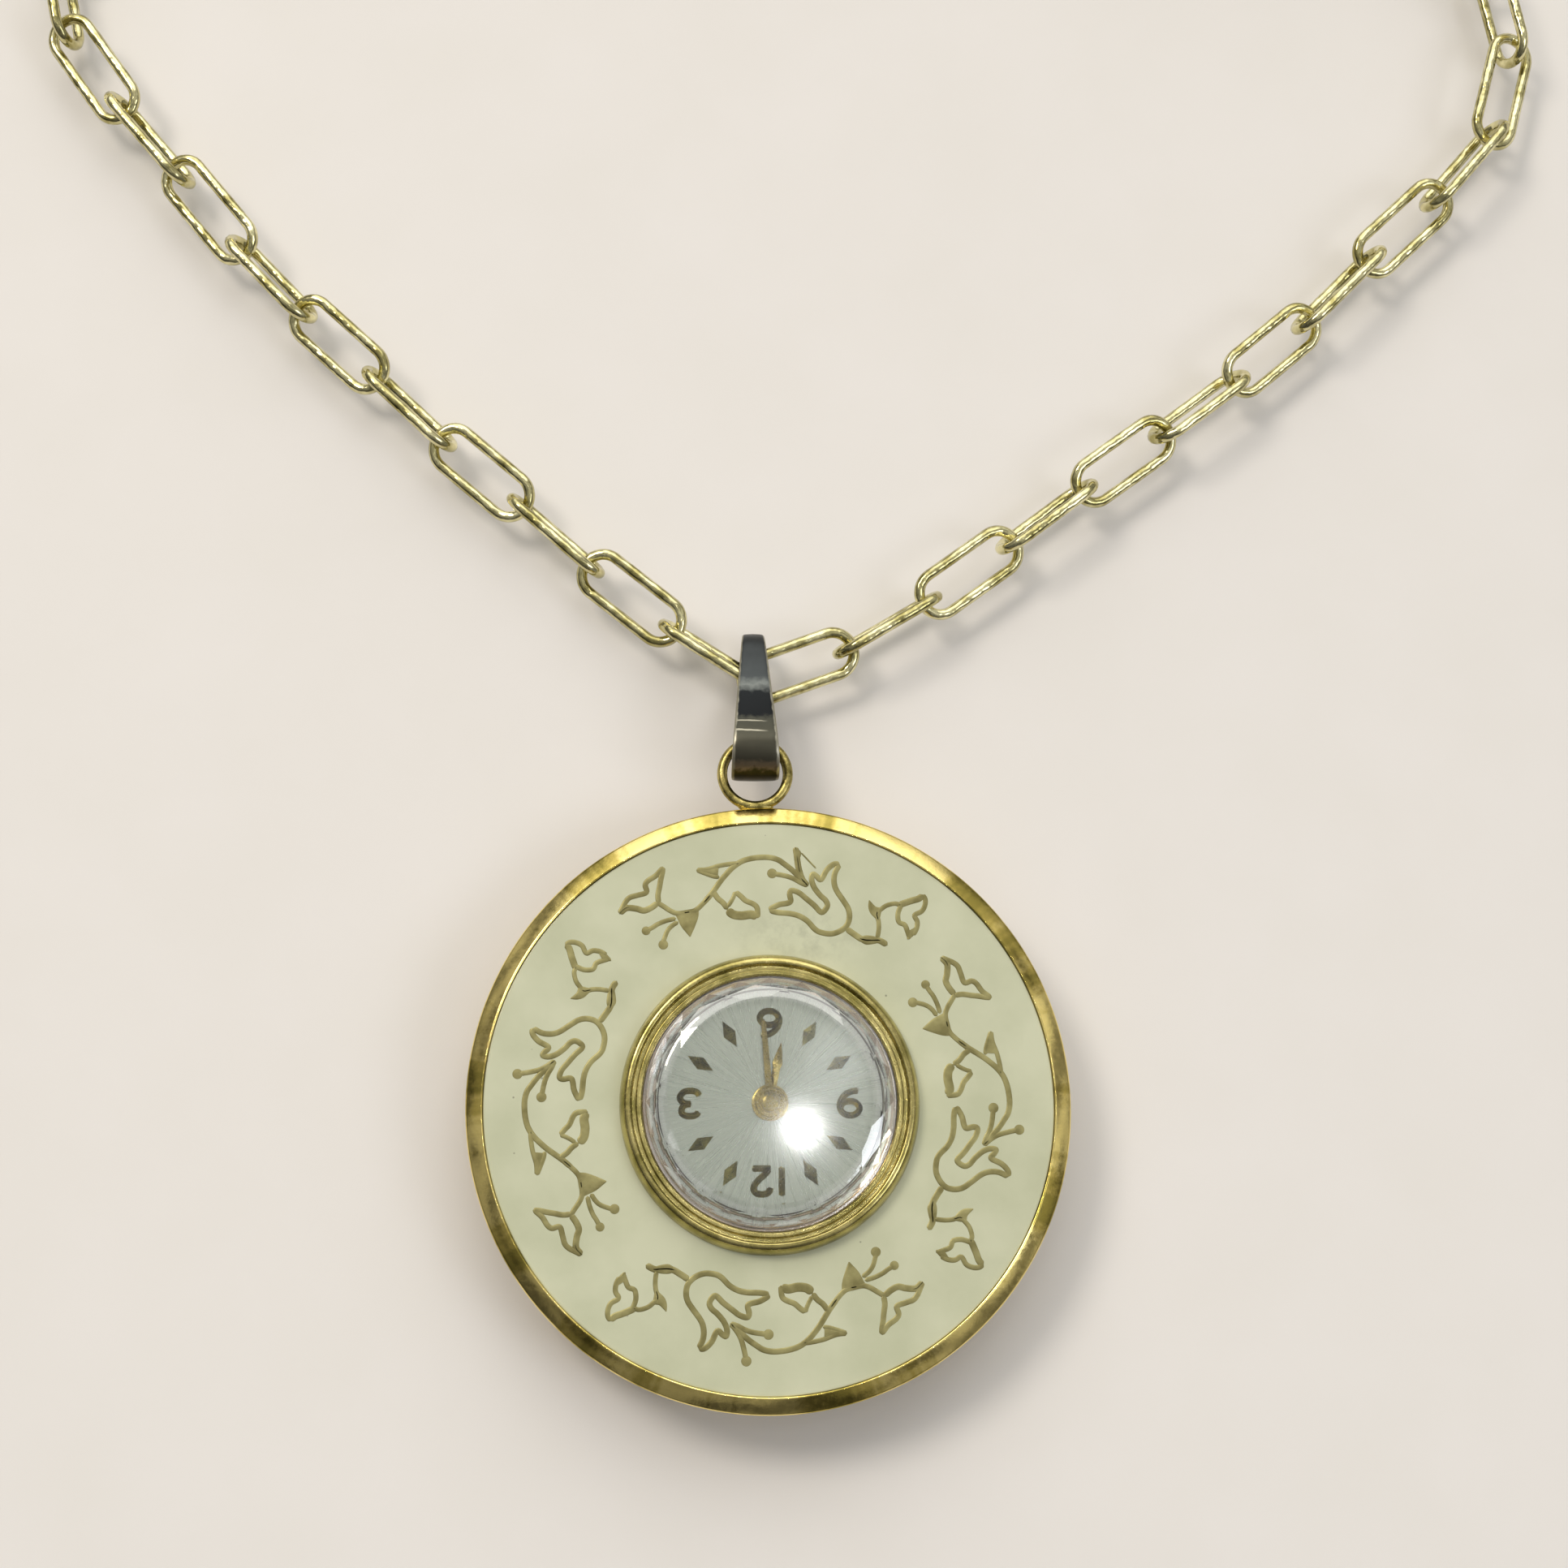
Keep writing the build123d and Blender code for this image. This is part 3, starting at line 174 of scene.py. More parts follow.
FIGURE_SIX = [[(0.56, 0.76), (0.1, 0.7), (-0.3, 0.48), (-0.56, 0.12), (-0.62, -0.3), (-0.4, -0.66),
               (0.0, -0.79), (0.4, -0.68), (0.6, -0.34), (0.38, 0.0), (0.0, 0.1), (-0.4, 0.0), (-0.6, -0.26)]]


def linear(hex_colour):
    """Turns an sRGB hex colour into Blender's linear red, green, blue and alpha."""
    value = hex_colour.lstrip("#")
    channels = [int(value[place:place + 2], 16) / 255 for place in (0, 2, 4)]
    return tuple(c / 12.92 if c <= 0.04045 else ((c + 0.055) / 1.055) ** 2.4 for c in channels) + (1.0,)


def around(steps):
    """Angles at even steps around a full turn."""
    return np.linspace(0, 2 * math.pi, steps, endpoint=False)


def plane_turn(points, angle):
    """Turns points about the vertical through the middle by an angle in radians."""
    points = np.asarray(points, float)
    cosine, sine = math.cos(angle), math.sin(angle)
    x, y = points[..., 0], points[..., 1]
    return np.stack([x * cosine - y * sine, x * sine + y * cosine], -1)


def smooth_line(points, steps=6):
    """Catmull-Rom curve: between two points it is a cubic that leaves each along the line joining its
    neighbours."""
    points = np.asarray(points, float)
    padded = np.vstack([2 * points[0] - points[1], points, 2 * points[-1] - points[-2]])
    before, start, after, later = (padded[first:len(padded) - 3 + first, None] for first in range(4))
    t = np.linspace(0, 1, steps, endpoint=False)[None, :, None]
    curve = 0.5 * (2 * start + (after - before) * t + (2 * before - 5 * start + 4 * after - later) * t ** 2
                   + (3 * start - before - 3 * after + later) * t ** 3)
    return np.vstack([curve.reshape(-1, 2), points[-1:]])


def round_corners(profile, steps=5):
    """Closed profile of (across, up, reach): each corner becomes a parabola that starts and ends `reach`
    from it."""
    profile = np.asarray(profile, float)
    corner, reach = profile[:, :2], profile[:, 2:3]
    back, ahead = np.roll(corner, 1, 0) - corner, np.roll(corner, -1, 0) - corner
    start = (corner + back / np.linalg.norm(back, axis=1, keepdims=True) * reach)[:, None]
    end = (corner + ahead / np.linalg.norm(ahead, axis=1, keepdims=True) * reach)[:, None]
    t = np.linspace(0, 1, steps + 1)[None, :, None]
    return ((1 - t) ** 2 * start + 2 * t * (1 - t) * corner[:, None] + t ** 2 * end).reshape(-1, 2)


def grid_faces(rows, columns, close_rows):
    """Four-sided faces of a grid of points, row by row. Its last column joins the first, and its last row
    the first where the rows close."""
    row, column = np.meshgrid(np.arange(rows - (not close_rows)), np.arange(columns), indexing="ij")
    next_row, next_column = (row + 1) % rows, (column + 1) % columns
    corners = (row * columns + column, row * columns + next_column,
               next_row * columns + next_column, next_row * columns + column)
    return np.stack(corners, -1).reshape(-1, 4)


def turned(profile, steps=256, closed=True, middle=(0.0, 0.0)):
    """Turns a profile of (radius, height) about a vertical: (radius cos turn, radius sin turn, height)."""
    turn, profile = around(steps), np.asarray(profile, float)
    radius, height = profile[:, :1], profile[:, 1:]
    points = np.stack([middle[0] + radius * np.cos(turn), middle[1] + radius * np.sin(turn),
                       height + 0 * turn], -1)
    return points.reshape(-1, 3), grid_faces(len(profile), steps, closed)


def swept(path, section, normal):
    """Carries a closed section around a closed path: its first number lies along the path's side, which is
    the path's direction crossed with the normal, and its second along the normal."""
    side = np.cross(np.roll(path, -1, 0) - np.roll(path, 1, 0), normal)
    side /= np.linalg.norm(side, axis=1, keepdims=True)
    points = path[:, None] + section[..., :1] * side[:, None] + section[..., 1:] * normal
    return points.reshape(-1, 3), grid_faces(*points.shape[:2], True)


def round_section(radius, steps):
    """Circle of that radius."""
    turn = around(steps)
    return np.stack([np.cos(turn), np.sin(turn)], -1) * radius


def raised_strip(left, right, foot, height, ridge=False):
    """Low relief between two edge lines. Across the strip it rises as the sine of the way over, to a low
    power so that its top is flat, or as a straight roof when it has a ridge; the underside lies a little
    below the foot."""
    if ridge:
        across = np.array((0.0, 0.0, 0.5, 1.0, 1.0))
        rise = np.array((0.0, 0.15, 1.0, 0.15, 0.0))
    else:
        across = np.array((0.0, 0.0, 0.07, 0.2, 0.4, 0.6, 0.8, 0.93, 1.0, 1.0))
        rise = np.sin(math.pi * across) ** 0.4
        rise[0] = rise[-1] = -0.5
    flat = left[:, None] * (1 - across[:, None]) + right[:, None] * across[:, None]
    level = np.broadcast_to((foot + height * rise)[:, None], flat.shape[:2] + (1,))
    points = np.concatenate([flat, level], -1)
    ends = np.broadcast_to(points[[0, -1]].mean(1, keepdims=True), (2,) + points.shape[1:])
    points = np.concatenate([ends[:1], points, ends[1:]])
    return points.reshape(-1, 3), grid_faces(*points.shape[:2], False)


def stroke(points, width, foot, height, ridge=False, ends=0.5):
    """Relief along a middle line. Its half width follows a circle over the last `ends` widths, so it ends
    round."""
    line = smooth_line(points)
    ahead = np.gradient(line, axis=0)
    ahead /= np.linalg.norm(ahead, axis=1, keepdims=True)
    side = np.stack([-ahead[:, 1], ahead[:, 0]], -1)
    run = np.concatenate([[0], np.cumsum(np.linalg.norm(np.diff(line, axis=0), axis=1))])
    near_end = np.clip(np.minimum(run, run[-1] - run) / (width * ends), 0, 1)
    share = np.maximum(np.sqrt(1 - (1 - near_end) ** 2), 0.05)
    half = (width / 2 * share)[:, None]
    return raised_strip(line + side * half, line - side * half, foot, height, ridge)


def joined(parts):
    """Puts several (points, faces) together as one."""
    starts = np.cumsum([0] + [len(points) for points, _ in parts[:-1]])
    return (np.concatenate([points for points, _ in parts]),
            np.concatenate([faces + start for (_, faces), start in zip(parts, starts)]))


def make_piece(name, shape, maker, body, replaces=(), sharp=35):
    """Puts a shape in mm into a mesh, merges doubles, turns faces outwards, and lets the piece ride on its
    body. Edges that bend by more than `sharp` degrees look crisp."""
    points, faces = shape
    mesh = bpy.data.meshes.new(name)
    mesh.from_pydata((points * MM).tolist(), [], faces if isinstance(faces, list) else faces.tolist())
    work = bmesh.new()
    work.from_mesh(mesh)
    bmesh.ops.remove_doubles(work, verts=work.verts, dist=2e-7)
    bmesh.ops.dissolve_degenerate(work, edges=work.edges, dist=1e-8)
    bmesh.ops.recalc_face_normals(work, faces=work.faces)
    work.to_mesh(mesh)
    work.free()
    mesh.shade_smooth()
    mesh.set_sharp_from_angle(angle=math.radians(sharp))
    mesh.materials.append(finish(maker))
    piece = bpy.data.objects.new(name, mesh)
    bpy.context.scene.collection.objects.link(piece)
    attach(piece, body)
    if replaces:
        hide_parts(*replaces)
    return piece


def vertex_places(mesh):
    """A mesh's points in mm."""
    places = np.empty(len(mesh.vertices) * 3)
    mesh.vertices.foreach_get("co", places)
    return places.reshape(-1, 3) / MM


def add(tree, kind, inputs=None, **settings):
    """Adds a shader node. An input that is another node's output is linked, one that is a node is linked to
    that node's first output in use, and anything else is the input's value."""
    node = tree.nodes.new("ShaderNode" + kind)
    for name, value in settings.items():
        setattr(node, name, value)
    for name, value in (inputs or {}).items():
        if isinstance(value, bpy.types.Node):
            value = next(output for output in value.outputs if output.enabled)
        if isinstance(value, bpy.types.NodeSocket):
            tree.links.new(value, node.inputs[name])
        else:
            node.inputs[name].default_value = value
    return node


def per(size):
    """Pattern scale for features of a size in mm, on Object coordinates in metres."""
    return 1 / (size * MM)


def tones(tree, factor, *stops):
    """Ramp through (factor, hex colour) stops."""
    ramp = add(tree, "ValToRGB", {"Fac": factor})
    elements = ramp.color_ramp.elements
    while len(elements) < len(stops):
        elements.new(1.0)
    for element, (place, hex_colour) in zip(elements, stops):
        element.position, element.color = place, linear(hex_colour)
    return ramp


def finish(maker):
    """The material that a maker function draws, made once. The function gets the node tree and the Object
    coordinates and gives back the shader. The material has the function's name, and none of these is one of
    the model's own material names, which are slots."""
    material = bpy.data.materials.get(maker.__name__)
    if not material:
        material = bpy.data.materials.new(maker.__name__)
        material.use_nodes = True
        tree = material.node_tree
        tree.nodes.clear()
        place = add(tree, "TexCoord").outputs["Object"]
        add(tree, "OutputMaterial", {"Surface": maker(tree, place)})
    return material


def colour(name):
    """One of the scene's named colours, as an sRGB hex."""
    return getattr(bpy.context.scene.pendant_colours, name)


def marked_metal(tree, tone, marks, rough, depth, strength=1.0, handling=None, span=(0.3, 0.7), more=None):
    """Metal with fine marks that stand up by a depth in mm. Its roughness goes from the first of `rough` to
    the second while the handling, or else the marks, cross the span; more holds inputs that differ from
    plain metal."""
    polish = add(tree, "MapRange", {"Value": handling or marks, "From Min": span[0], "From Max": span[1],
                                    "To Min": rough[0], "To Max": rough[1]})
    bump = add(tree, "Bump", {"Height": marks, "Strength": strength, "Distance": depth * MM})
    return add(tree, "BsdfPrincipled", {"Base Color": tone, "Metallic": 1.0, "Roughness": polish,
                                        "Normal": bump, **(more or {})})


def worn_metal(tree, place, dark, light, patch, rough, grain, depth, stretch=(1, 1, 1), detail=4.0):
    """Metal whose tone and polish drift over patches, with a fine bump of wear: patch and grain are feature
    sizes in mm, rough is its lowest and highest roughness, and depth is the bump's height in mm."""
    drift = add(tree, "TexNoise", {"Vector": place, "Scale": per(patch), "Detail": 3.0, "Roughness": 0.6})
    drawn = add(tree, "Mapping", {"Vector": place, "Scale": stretch})
    wear = add(tree, "TexNoise", {"Vector": drawn, "Scale": per(grain), "Detail": detail, "Roughness": 0.65})
    return marked_metal(tree, tones(tree, drift, (0.35, dark), (0.65, light)), wear, rough, depth)


def rim_gilt(tree, place):
    """Gold plate on brass, buffed by hand around the rim, with fine marks over it. Every few millimetres
    around the rim it goes from bright yellow to olive: these patches change only with the turn around the rim
    and are painted reflections, bright and dark, and the fine marks lie over both."""
    level = add(tree, "Mapping", {"Vector": place, "Scale": (1.0, 1.0, 0.0)})
    outwards = add(tree, "VectorMath", {0: level}, operation="NORMALIZE")
    # Painted reflection: bright yellow and olive patches that change only with the turn around the rim
    strokes = add(tree, "TexNoise", {"Vector": outwards, "Scale": 3.4, "Detail": 4.0, "Roughness": 0.62})
    marks = add(tree, "TexNoise", {"Vector": place, "Scale": per(0.35), "Detail": 4.0, "Roughness": 0.65})
    # The tone is mostly these painted reflection patches, shifted a little by the real fine marks
    worn = add(tree, "Math", {0: marks, 1: 0.12, 2: strokes}, operation="MULTIPLY_ADD")
    tone = tones(tree, worn, (0.46, colour("gilt_olive_painted_reflection")), (0.53, "#CDB864"), (0.6, colour("gilt_bright_painted_reflection")))
    return marked_metal(tree, tone, marks, (0.06, 0.18), 0.004)


def bezel_gilt(tree, place):
    """The bezel's plate, handled most: a duller brownish gold than the rim's, paler where fingers polish
    it."""
    return worn_metal(tree, place, "#948A4C", "#D0C282", 2.0, (0.14, 0.3), 0.25, 0.006)


def ring_brass(tree, place):
    """Bare brass wire with its solder: duller and greener than the plate, with a grown skin."""
    return worn_metal(tree, place, "#746A38", "#C9B973", 0.8, (0.2, 0.42), 0.25, 0.02)


def link_gilt(tree, place):
    """Pale washed brass links with hammered flats about a millimetre wide, so highlights break up."""
    return worn_metal(tree, place, colour("chain_dark"), colour("chain_light"), 1.6, (0.1, 0.24), 1.1, 0.16,
                      detail=1.5)


def ring_nickel(tree, place):
    """Stepped ring that holds the dial down under the crystal: nickel plate, yellow where brass shows
    through."""
    return worn_metal(tree, place, "#A8957C", "#CDB48C", 5.0, (0.1, 0.24), 0.3, 0.004)


def figure_gilt(tree, place):
    """Applied figures, stamped and gilt: crisp faces, olive in the shade."""
    return worn_metal(tree, place, "#6A643E", "#ABA062", 0.9, (0.22, 0.4), 0.12, 0.003)


def gilt_hands(tree, place):
    """Stamped hands with a thin gilding that has dulled in patches."""
    return worn_metal(tree, place, "#7C7144", "#BDAA6A", 2.4, (0.2, 0.34), 0.15, 0.004)


def rolled_brass(tree, place):
    """Plates and wheels of rolled brass with a fine straight grain, bright since the case keeps them
    dry."""
    return worn_metal(tree, place, "#B08D44", "#D8BA6B", 2.0, (0.25, 0.4), 0.12, 0.003, (1, 6, 1))


def polished_steel(tree, place):
    """Hardened and polished steel arbors, levers and winding wheels: cool grey and mirror like."""
    return worn_metal(tree, place, "#8D9195", "#C4C8CC", 1.5, (0.14, 0.3), 0.1, 0.002, (1, 5, 1))


def satin_nickel(tree, place):
    """Nickel plated bridges with a soft satin from fine abrasive, pale and slightly warm."""
    return worn_metal(tree, place, "#A9A59B", "#D2CFC6", 2.5, (0.28, 0.42), 0.1, 0.002, (6, 1, 1))


def jewel_ruby(tree, place):
    """Synthetic ruby jewels: clear deep pink, glossy from lapping."""
    cloud = add(tree, "TexNoise", {"Vector": place, "Scale": per(0.4), "Detail": 2.0})
    tone = tones(tree, cloud, (0.3, "#8E1230"), (0.7, "#C2274C"))
    return add(tree, "BsdfPrincipled", {"Base Color": tone, "Roughness": 0.08, "IOR": 1.76,
                                        "Transmission Weight": 0.4})


def brushed_steel(tree, place):
    """Stainless back, turned and brushed in circles: fine rings about 0.1 mm apart, drawn 1.6 mm apart to
    show. The texture's phase is 20 times the distance, and a ring takes 2 pi of it."""
    rings = add(tree, "TexWave", {"Vector": place, "Scale": per(0.25) / 20, "Distortion": 0.6, "Detail": 3.0,
                                  "Detail Scale": 2.0}, wave_type="RINGS", rings_direction="Z")
    rings = rings.outputs["Fac"]
    handling = add(tree, "TexNoise", {"Vector": place, "Scale": per(2.5), "Detail": 5.0})
    tone = tones(tree, rings, (0.2, "#A3A6A8"), (0.8, "#C3C6C8"))
    return marked_metal(tree, tone, rings, (0.24, 0.42), 0.004, 0.6, handling)


def bail_gunmetal(tree, place):
    """Darkened copper strip: nearly black where its skin is whole, olive and brown grey in bands along its
    length, with a painted pinkish highlight on the lip of the bend round the ring and a pale grey band that
    is partly handled wear and partly painted highlight, and bare along both edges and in two scratches. The
    strip's own map runs from the ring's end to the chain's (u) and across it (v)."""
    strip = add(tree, "SeparateXYZ", {"Vector": add(tree, "UVMap", uv_map="strip")})
    along, over = strip.outputs["X"], strip.outputs["Y"]
    skin = add(tree, "TexNoise", {"Vector": place, "Scale": per(0.6), "Detail": 4.0})
    drift = add(tree, "Math", {0: skin, 1: 0.09, 2: along}, operation="MULTIPLY_ADD")
    # Bands along the strip from the ring's end: dark olive, a painted pinkish highlight on the lip from 0.09
    # to 0.115, olive grey, black, and at 0.6 a pale grey band that is partly handled wear and partly painted
    # highlight
    tone = tones(tree, drift, (0.03, "#2F2C16"), (0.068, "#443F25"), (0.09, "#94826C"), (0.115, "#8A7A64"),
                 (0.14, "#565347"), (0.3, "#48473D"), (0.37, "#43433B"), (0.4, colour("bail_dark")),
                 (0.55, "#1D2022"), (0.6, colour("bail_wear_and_painted_highlight")), (0.66, "#464A4B"), (0.93, "#36393A"),
                 (1.0, "#242628"))
    off_middle = add(tree, "Math", {0: over, 1: 0.5}, operation="SUBTRACT")
    side = add(tree, "Math", {0: off_middle}, operation="ABSOLUTE")
    ragged = add(tree, "Math", {0: skin, 1: 0.08, 2: side}, operation="MULTIPLY_ADD")
    edge = add(tree, "MapRange", {"Value": ragged, "From Min": 0.465, "From Max": 0.5, "To Max": 0.8})
    waver = add(tree, "Math", {0: skin, 1: 0.012, 2: along}, operation="MULTIPLY_ADD")
    slanted = add(tree, "Math", {0: over, 1: 0.012, 2: waver}, operation="MULTIPLY_ADD")
    first, second = [add(tree, "Math", {0: slanted, 1: where, 2: half}, operation="COMPARE")
                     for where, half in ((0.318, 0.004), (0.255, 0.005))]
    left_part = add(tree, "MapRange", {"Value": over, "From Min": 0.8, "From Max": 0.55, "To Max": 0.7})
    both = add(tree, "Math", {0: first, 1: second}, operation="ADD")
    scratches = add(tree, "Math", {0: both, 1: left_part}, operation="MULTIPLY")
    bare = add(tree, "Math", {0: edge, 1: scratches}, operation="MAXIMUM", use_clamp=True)
    copper = add(tree, "Mix", {"Factor": bare, "A": tone, "B": linear("#B9B4A2")}, data_type="RGBA")
    return marked_metal(tree, copper, skin, (0.26, 0.44), 0.008, 0.6, span=(0.0, 1.0),
                        more={"Metallic": 0.85})


def ivory_enamel(tree, place):
    """Fired enamel, ground flat and glossy: warm ivory with a green cast, faint clouds, soot near the
    bezel's top and a few specks the size of a pinprick."""
    cloud = add(tree, "TexNoise", {"Vector": place, "Scale": per(5.0), "Detail": 4.0})
    tone = tones(tree, cloud, (0.35, colour("enamel_shade")), (0.65, colour("enamel_light")))
    # The soot is thickest at (2.2, 10.6) mm, and gone 2.4 mm up or down from there and 5.5 mm to a side
    centred = add(tree, "Mapping", {"Vector": place, "Location": (-2.2 * MM, -10.6 * MM, 0.0)})
    flattened = add(tree, "Mapping", {"Vector": centred, "Scale": (per(5.5), per(2.4), per(100.0))})
    near = add(tree, "TexGradient", {"Vector": flattened}, gradient_type="SPHERICAL")
    smoke = add(tree, "TexNoise", {"Vector": place, "Scale": per(1.1), "Detail": 6.0, "Roughness": 0.65})
    smoke_share = add(tree, "MapRange", {"Value": smoke, "From Min": 0.45, "From Max": 0.7, "To Max": 0.45})
    soot = add(tree, "Math", {0: near.outputs["Fac"], 1: smoke_share}, operation="MULTIPLY")
    smudged = add(tree, "Mix", {"Factor": soot, "A": tone, "B": linear("#7E8068")}, data_type="RGBA")
    specks = add(tree, "TexVoronoi", {"Vector": place, "Scale": per(2.6)})
    speck = add(tree, "MapRange", {"Value": specks, "From Min": 0.035, "From Max": 0.02, "To Max": 0.6})
    speckled = add(tree, "Mix", {"Factor": speck, "A": smudged, "B": linear("#5C5A45")}, data_type="RGBA")
    ripple = add(tree, "TexNoise", {"Vector": place, "Scale": per(1.6), "Detail": 2.0})
    bump = add(tree, "Bump", {"Height": ripple, "Strength": 0.5, "Distance": 0.01 * MM})
    return add(tree, "BsdfPrincipled", {"Base Color": speckled, "Roughness": 0.65, "Coat Weight": 0.6,
                                        "Coat Roughness": 0.04, "Normal": bump})


def vine_gilt(tree, place):
    """Liquid gold fired on the enamel: thin, olive and satin, rubbed paler in places."""
    rubbing = add(tree, "TexNoise", {"Vector": place, "Scale": per(0.9), "Detail": 4.0})
    tone = tones(tree, rubbing, (0.35, colour("vine_dark")), (0.68, colour("vine_light")))
    return add(tree, "BsdfPrincipled", {"Base Color": tone, "Metallic": 0.55, "Roughness": 0.42})


def silvered_dial(tree, place):
    """Silvered brass dial, brushed from the middle outwards and lacquered: fine rays that spread a
    highlight into a fan. The rays are under 0.05 mm, drawn about 0.3 mm wide at the figures so they
    show."""
    parts = add(tree, "SeparateXYZ", {"Vector": place})
    angle = add(tree, "Math", {0: parts.outputs["Y"], 1: parts.outputs["X"]}, operation="ARCTAN2")
    rays = add(tree, "TexNoise", {"W": angle, "Scale": 17.0, "Detail": 5.0, "Roughness": 0.8},
               noise_dimensions="1D")
    tone = tones(tree, rays, (0.25, colour("dial_shade")), (0.75, colour("dial_light")))
    lacquer = {"Metallic": 0.85, "Coat Weight": 0.2, "Coat Roughness": 0.15}
    return marked_metal(tree, tone, rays, (0.25, 0.31), 0.001, 0.15, more=lacquer)


def crystal_acrylic(tree, place):
    """Moulded acrylic crystal, polished but worn soft, so a lamp's reflection in it is a glow. Lamps shine
    through it onto the dial and the enamel, which the tests for shadow rays and scattered light stand for.
    The cut facets are buffed brighter than the table and mirror the room more."""
    level = add(tree, "Mapping", {"Vector": place, "Scale": (1.0, 1.0, 0.0)})
    reach = add(tree, "VectorMath", {0: level}, operation="LENGTH")
    cut = add(tree, "Math", {0: reach, 1: 6.4 * MM}, operation="GREATER_THAN")
    hairlines = add(tree, "TexNoise", {"Vector": place, "Scale": per(1.2), "Detail": 3.0})
    bump = add(tree, "Bump", {"Height": hairlines, "Strength": 0.3, "Distance": 0.004 * MM})
    surface = add(tree, "BsdfPrincipled", {
        "Base Color": linear("#FBFCFC"), "Roughness": 0.07, "IOR": 1.49, "Transmission Weight": 1.0,
        "Coat Weight": cut, "Coat IOR": 2.3, "Coat Roughness": 0.03, "Normal": bump})
    clear = add(tree, "BsdfTransparent", {"Color": linear("#8C8D8D")})
    light = add(tree, "LightPath")
    lit = add(tree, "Math", {0: light.outputs["Is Shadow Ray"], 1: light.outputs["Is Diffuse Ray"]},
              operation="MAXIMUM")
    return add(tree, "MixShader", {0: lit, 1: surface, 2: clear})


def table_paint(tree, place):
    """Pale painted table: matt, with a barely visible mottle."""
    mottle = add(tree, "TexNoise", {"Vector": place, "Scale": per(9.0), "Detail": 3.0})
    tone = tones(tree, mottle, (0.3, "#EAE6E2"), (0.7, "#ECE8E5"))
    return add(tree, "BsdfPrincipled", {"Base Color": tone, "Roughness": 0.7})


def length(name, description, millimetres):
    """A size that the user can change."""
    return bpy.props.FloatProperty(name=name, description=description, default=millimetres * MM,
                                   unit="LENGTH", subtype="DISTANCE", precision=5)


def hex_tone(name, description, default):
    """A colour that the user can change."""
    return bpy.props.StringProperty(name=name, description=description, default=default)


class PendantSizes(bpy.types.PropertyGroup):
    """Sizes of the dressed pieces that the model leaves free."""
    rim_round: length("Rim rounding", "How far the rim's corners are rounded", 0.15)
    vine_height: length("Vine height", "How far the gilt vine stands proud", 0.03)
    figure_width: length("Figure width", "Stroke width of the applied figures", 0.42)
    link_wire: length("Link wire", "Wire thickness of the chain's links", MODEL_WIRE)
    crystal_facets: bpy.props.IntProperty(name="Crystal facets", default=24, min=12, max=48,
                                          description="Facets around the crystal's table")


class PendantColours(bpy.types.PropertyGroup):
    """Finish colours, as sRGB hex."""
    # The two gilt colours are the olive and bright ends of the rim's painted reflection patches, under its
    # fine marks
    gilt_olive_painted_reflection: hex_tone("Gilt, worn", "Gold plate where it is thin", "#A4954A")
    gilt_bright_painted_reflection: hex_tone("Gilt, bright", "Gold plate where it is whole", "#F8E290")
    chain_dark: hex_tone("Chain, worn", "Links where the wash is thin", "#A79E66")
    chain_light: hex_tone("Chain, bright", "Links where the wash is whole", "#EFE8B8")
    enamel_shade: hex_tone("Enamel, shaded", "Enamel in its darker clouds", "#C0C3A4")
    enamel_light: hex_tone("Enamel, light", "Enamel in its lighter clouds", "#CED0B3")
    vine_dark: hex_tone("Vine, dark", "Fired gold where it is thick", "#80794C")
    vine_light: hex_tone("Vine, rubbed", "Fired gold where it is rubbed", "#A39C6A")
    dial_shade: hex_tone("Dial, dark rays", "Silvering in the brushed grooves", "#B0B7A9")
    dial_light: hex_tone("Dial, light rays", "Silvering between the grooves", "#C8CEC0")
    bail_dark: hex_tone("Bail, dark", "Strip where its dark skin is whole", "#191B1D")
    # The bail's handled colour is partly wear and partly a painted highlight on the strip
    bail_wear_and_painted_highlight: hex_tone("Bail, handled", "Strip where its skin has thinned", "#747875")


class PieceOperator:
    """What the operators share: they run on the scene and can be undone."""
    bl_options = {"REGISTER", "UNDO"}

    @classmethod
    def poll(cls, context):
        return context.scene is not None


class PENDANT_OT_case(PieceOperator, bpy.types.Operator):
    """Case with its cup, wide flange and bevelled rim"""
    bl_idname = "pendant.case"
    bl_label = "Case"

    def execute(self, context):
        reach = context.scene.pendant_sizes.rim_round / MM
        profile = round_corners([
            (CUP_INNER, BACK_TOP, 0.05), (CUP_RADIUS, BACK_TOP, 0.1), (CUP_RADIUS, FLANGE_LOW, 0.4),
            (DISC_RADIUS, FLANGE_LOW, reach), (DISC_RADIUS, 5.32, reach), (17.98, 5.86, reach * 0.4),
            (RIM_INNER, 5.82, 0.02), (RIM_INNER, FLANGE_TOP, 0.0), (SEAT_RADIUS, FLANGE_TOP, 0.0),
            (SEAT_RADIUS, DIAL_LOW, 0.0), (CUP_INNER, DIAL_LOW, 0.0)])
        make_piece("case_body", turned(profile, 384), rim_gilt, "watch", ["watch_case"], 50)
        return {"FINISHED"}


class PENDANT_OT_back(PieceOperator, bpy.types.Operator):
    """Snap-on back with a rounded edge and a shallow recess underneath"""
    bl_idname = "pendant.back"
    bl_label = "Back"

    def execute(self, context):
        profile = round_corners([
            (BACK_RADIUS, 0.0, 0.2), (BACK_RADIUS, BACK_TOP, 0.1), (9.5, BACK_TOP, 0.0), (9.5, 0.7, 0.0),
            (0.0, 0.7, 0.0), (0.0, 0.06, 0.0), (8.2, 0.06, 0.05), (8.5, 0.0, 0.05)])
        # The profile starts at its lower point on the middle line
        start = int(np.argmin(profile[:, 0] + (profile[:, 1] > 0.3)))
        make_piece("back_cover", turned(np.roll(profile, -start, 0)), brushed_steel, "watch", ["case_back"],
                   40)
        return {"FINISHED"}


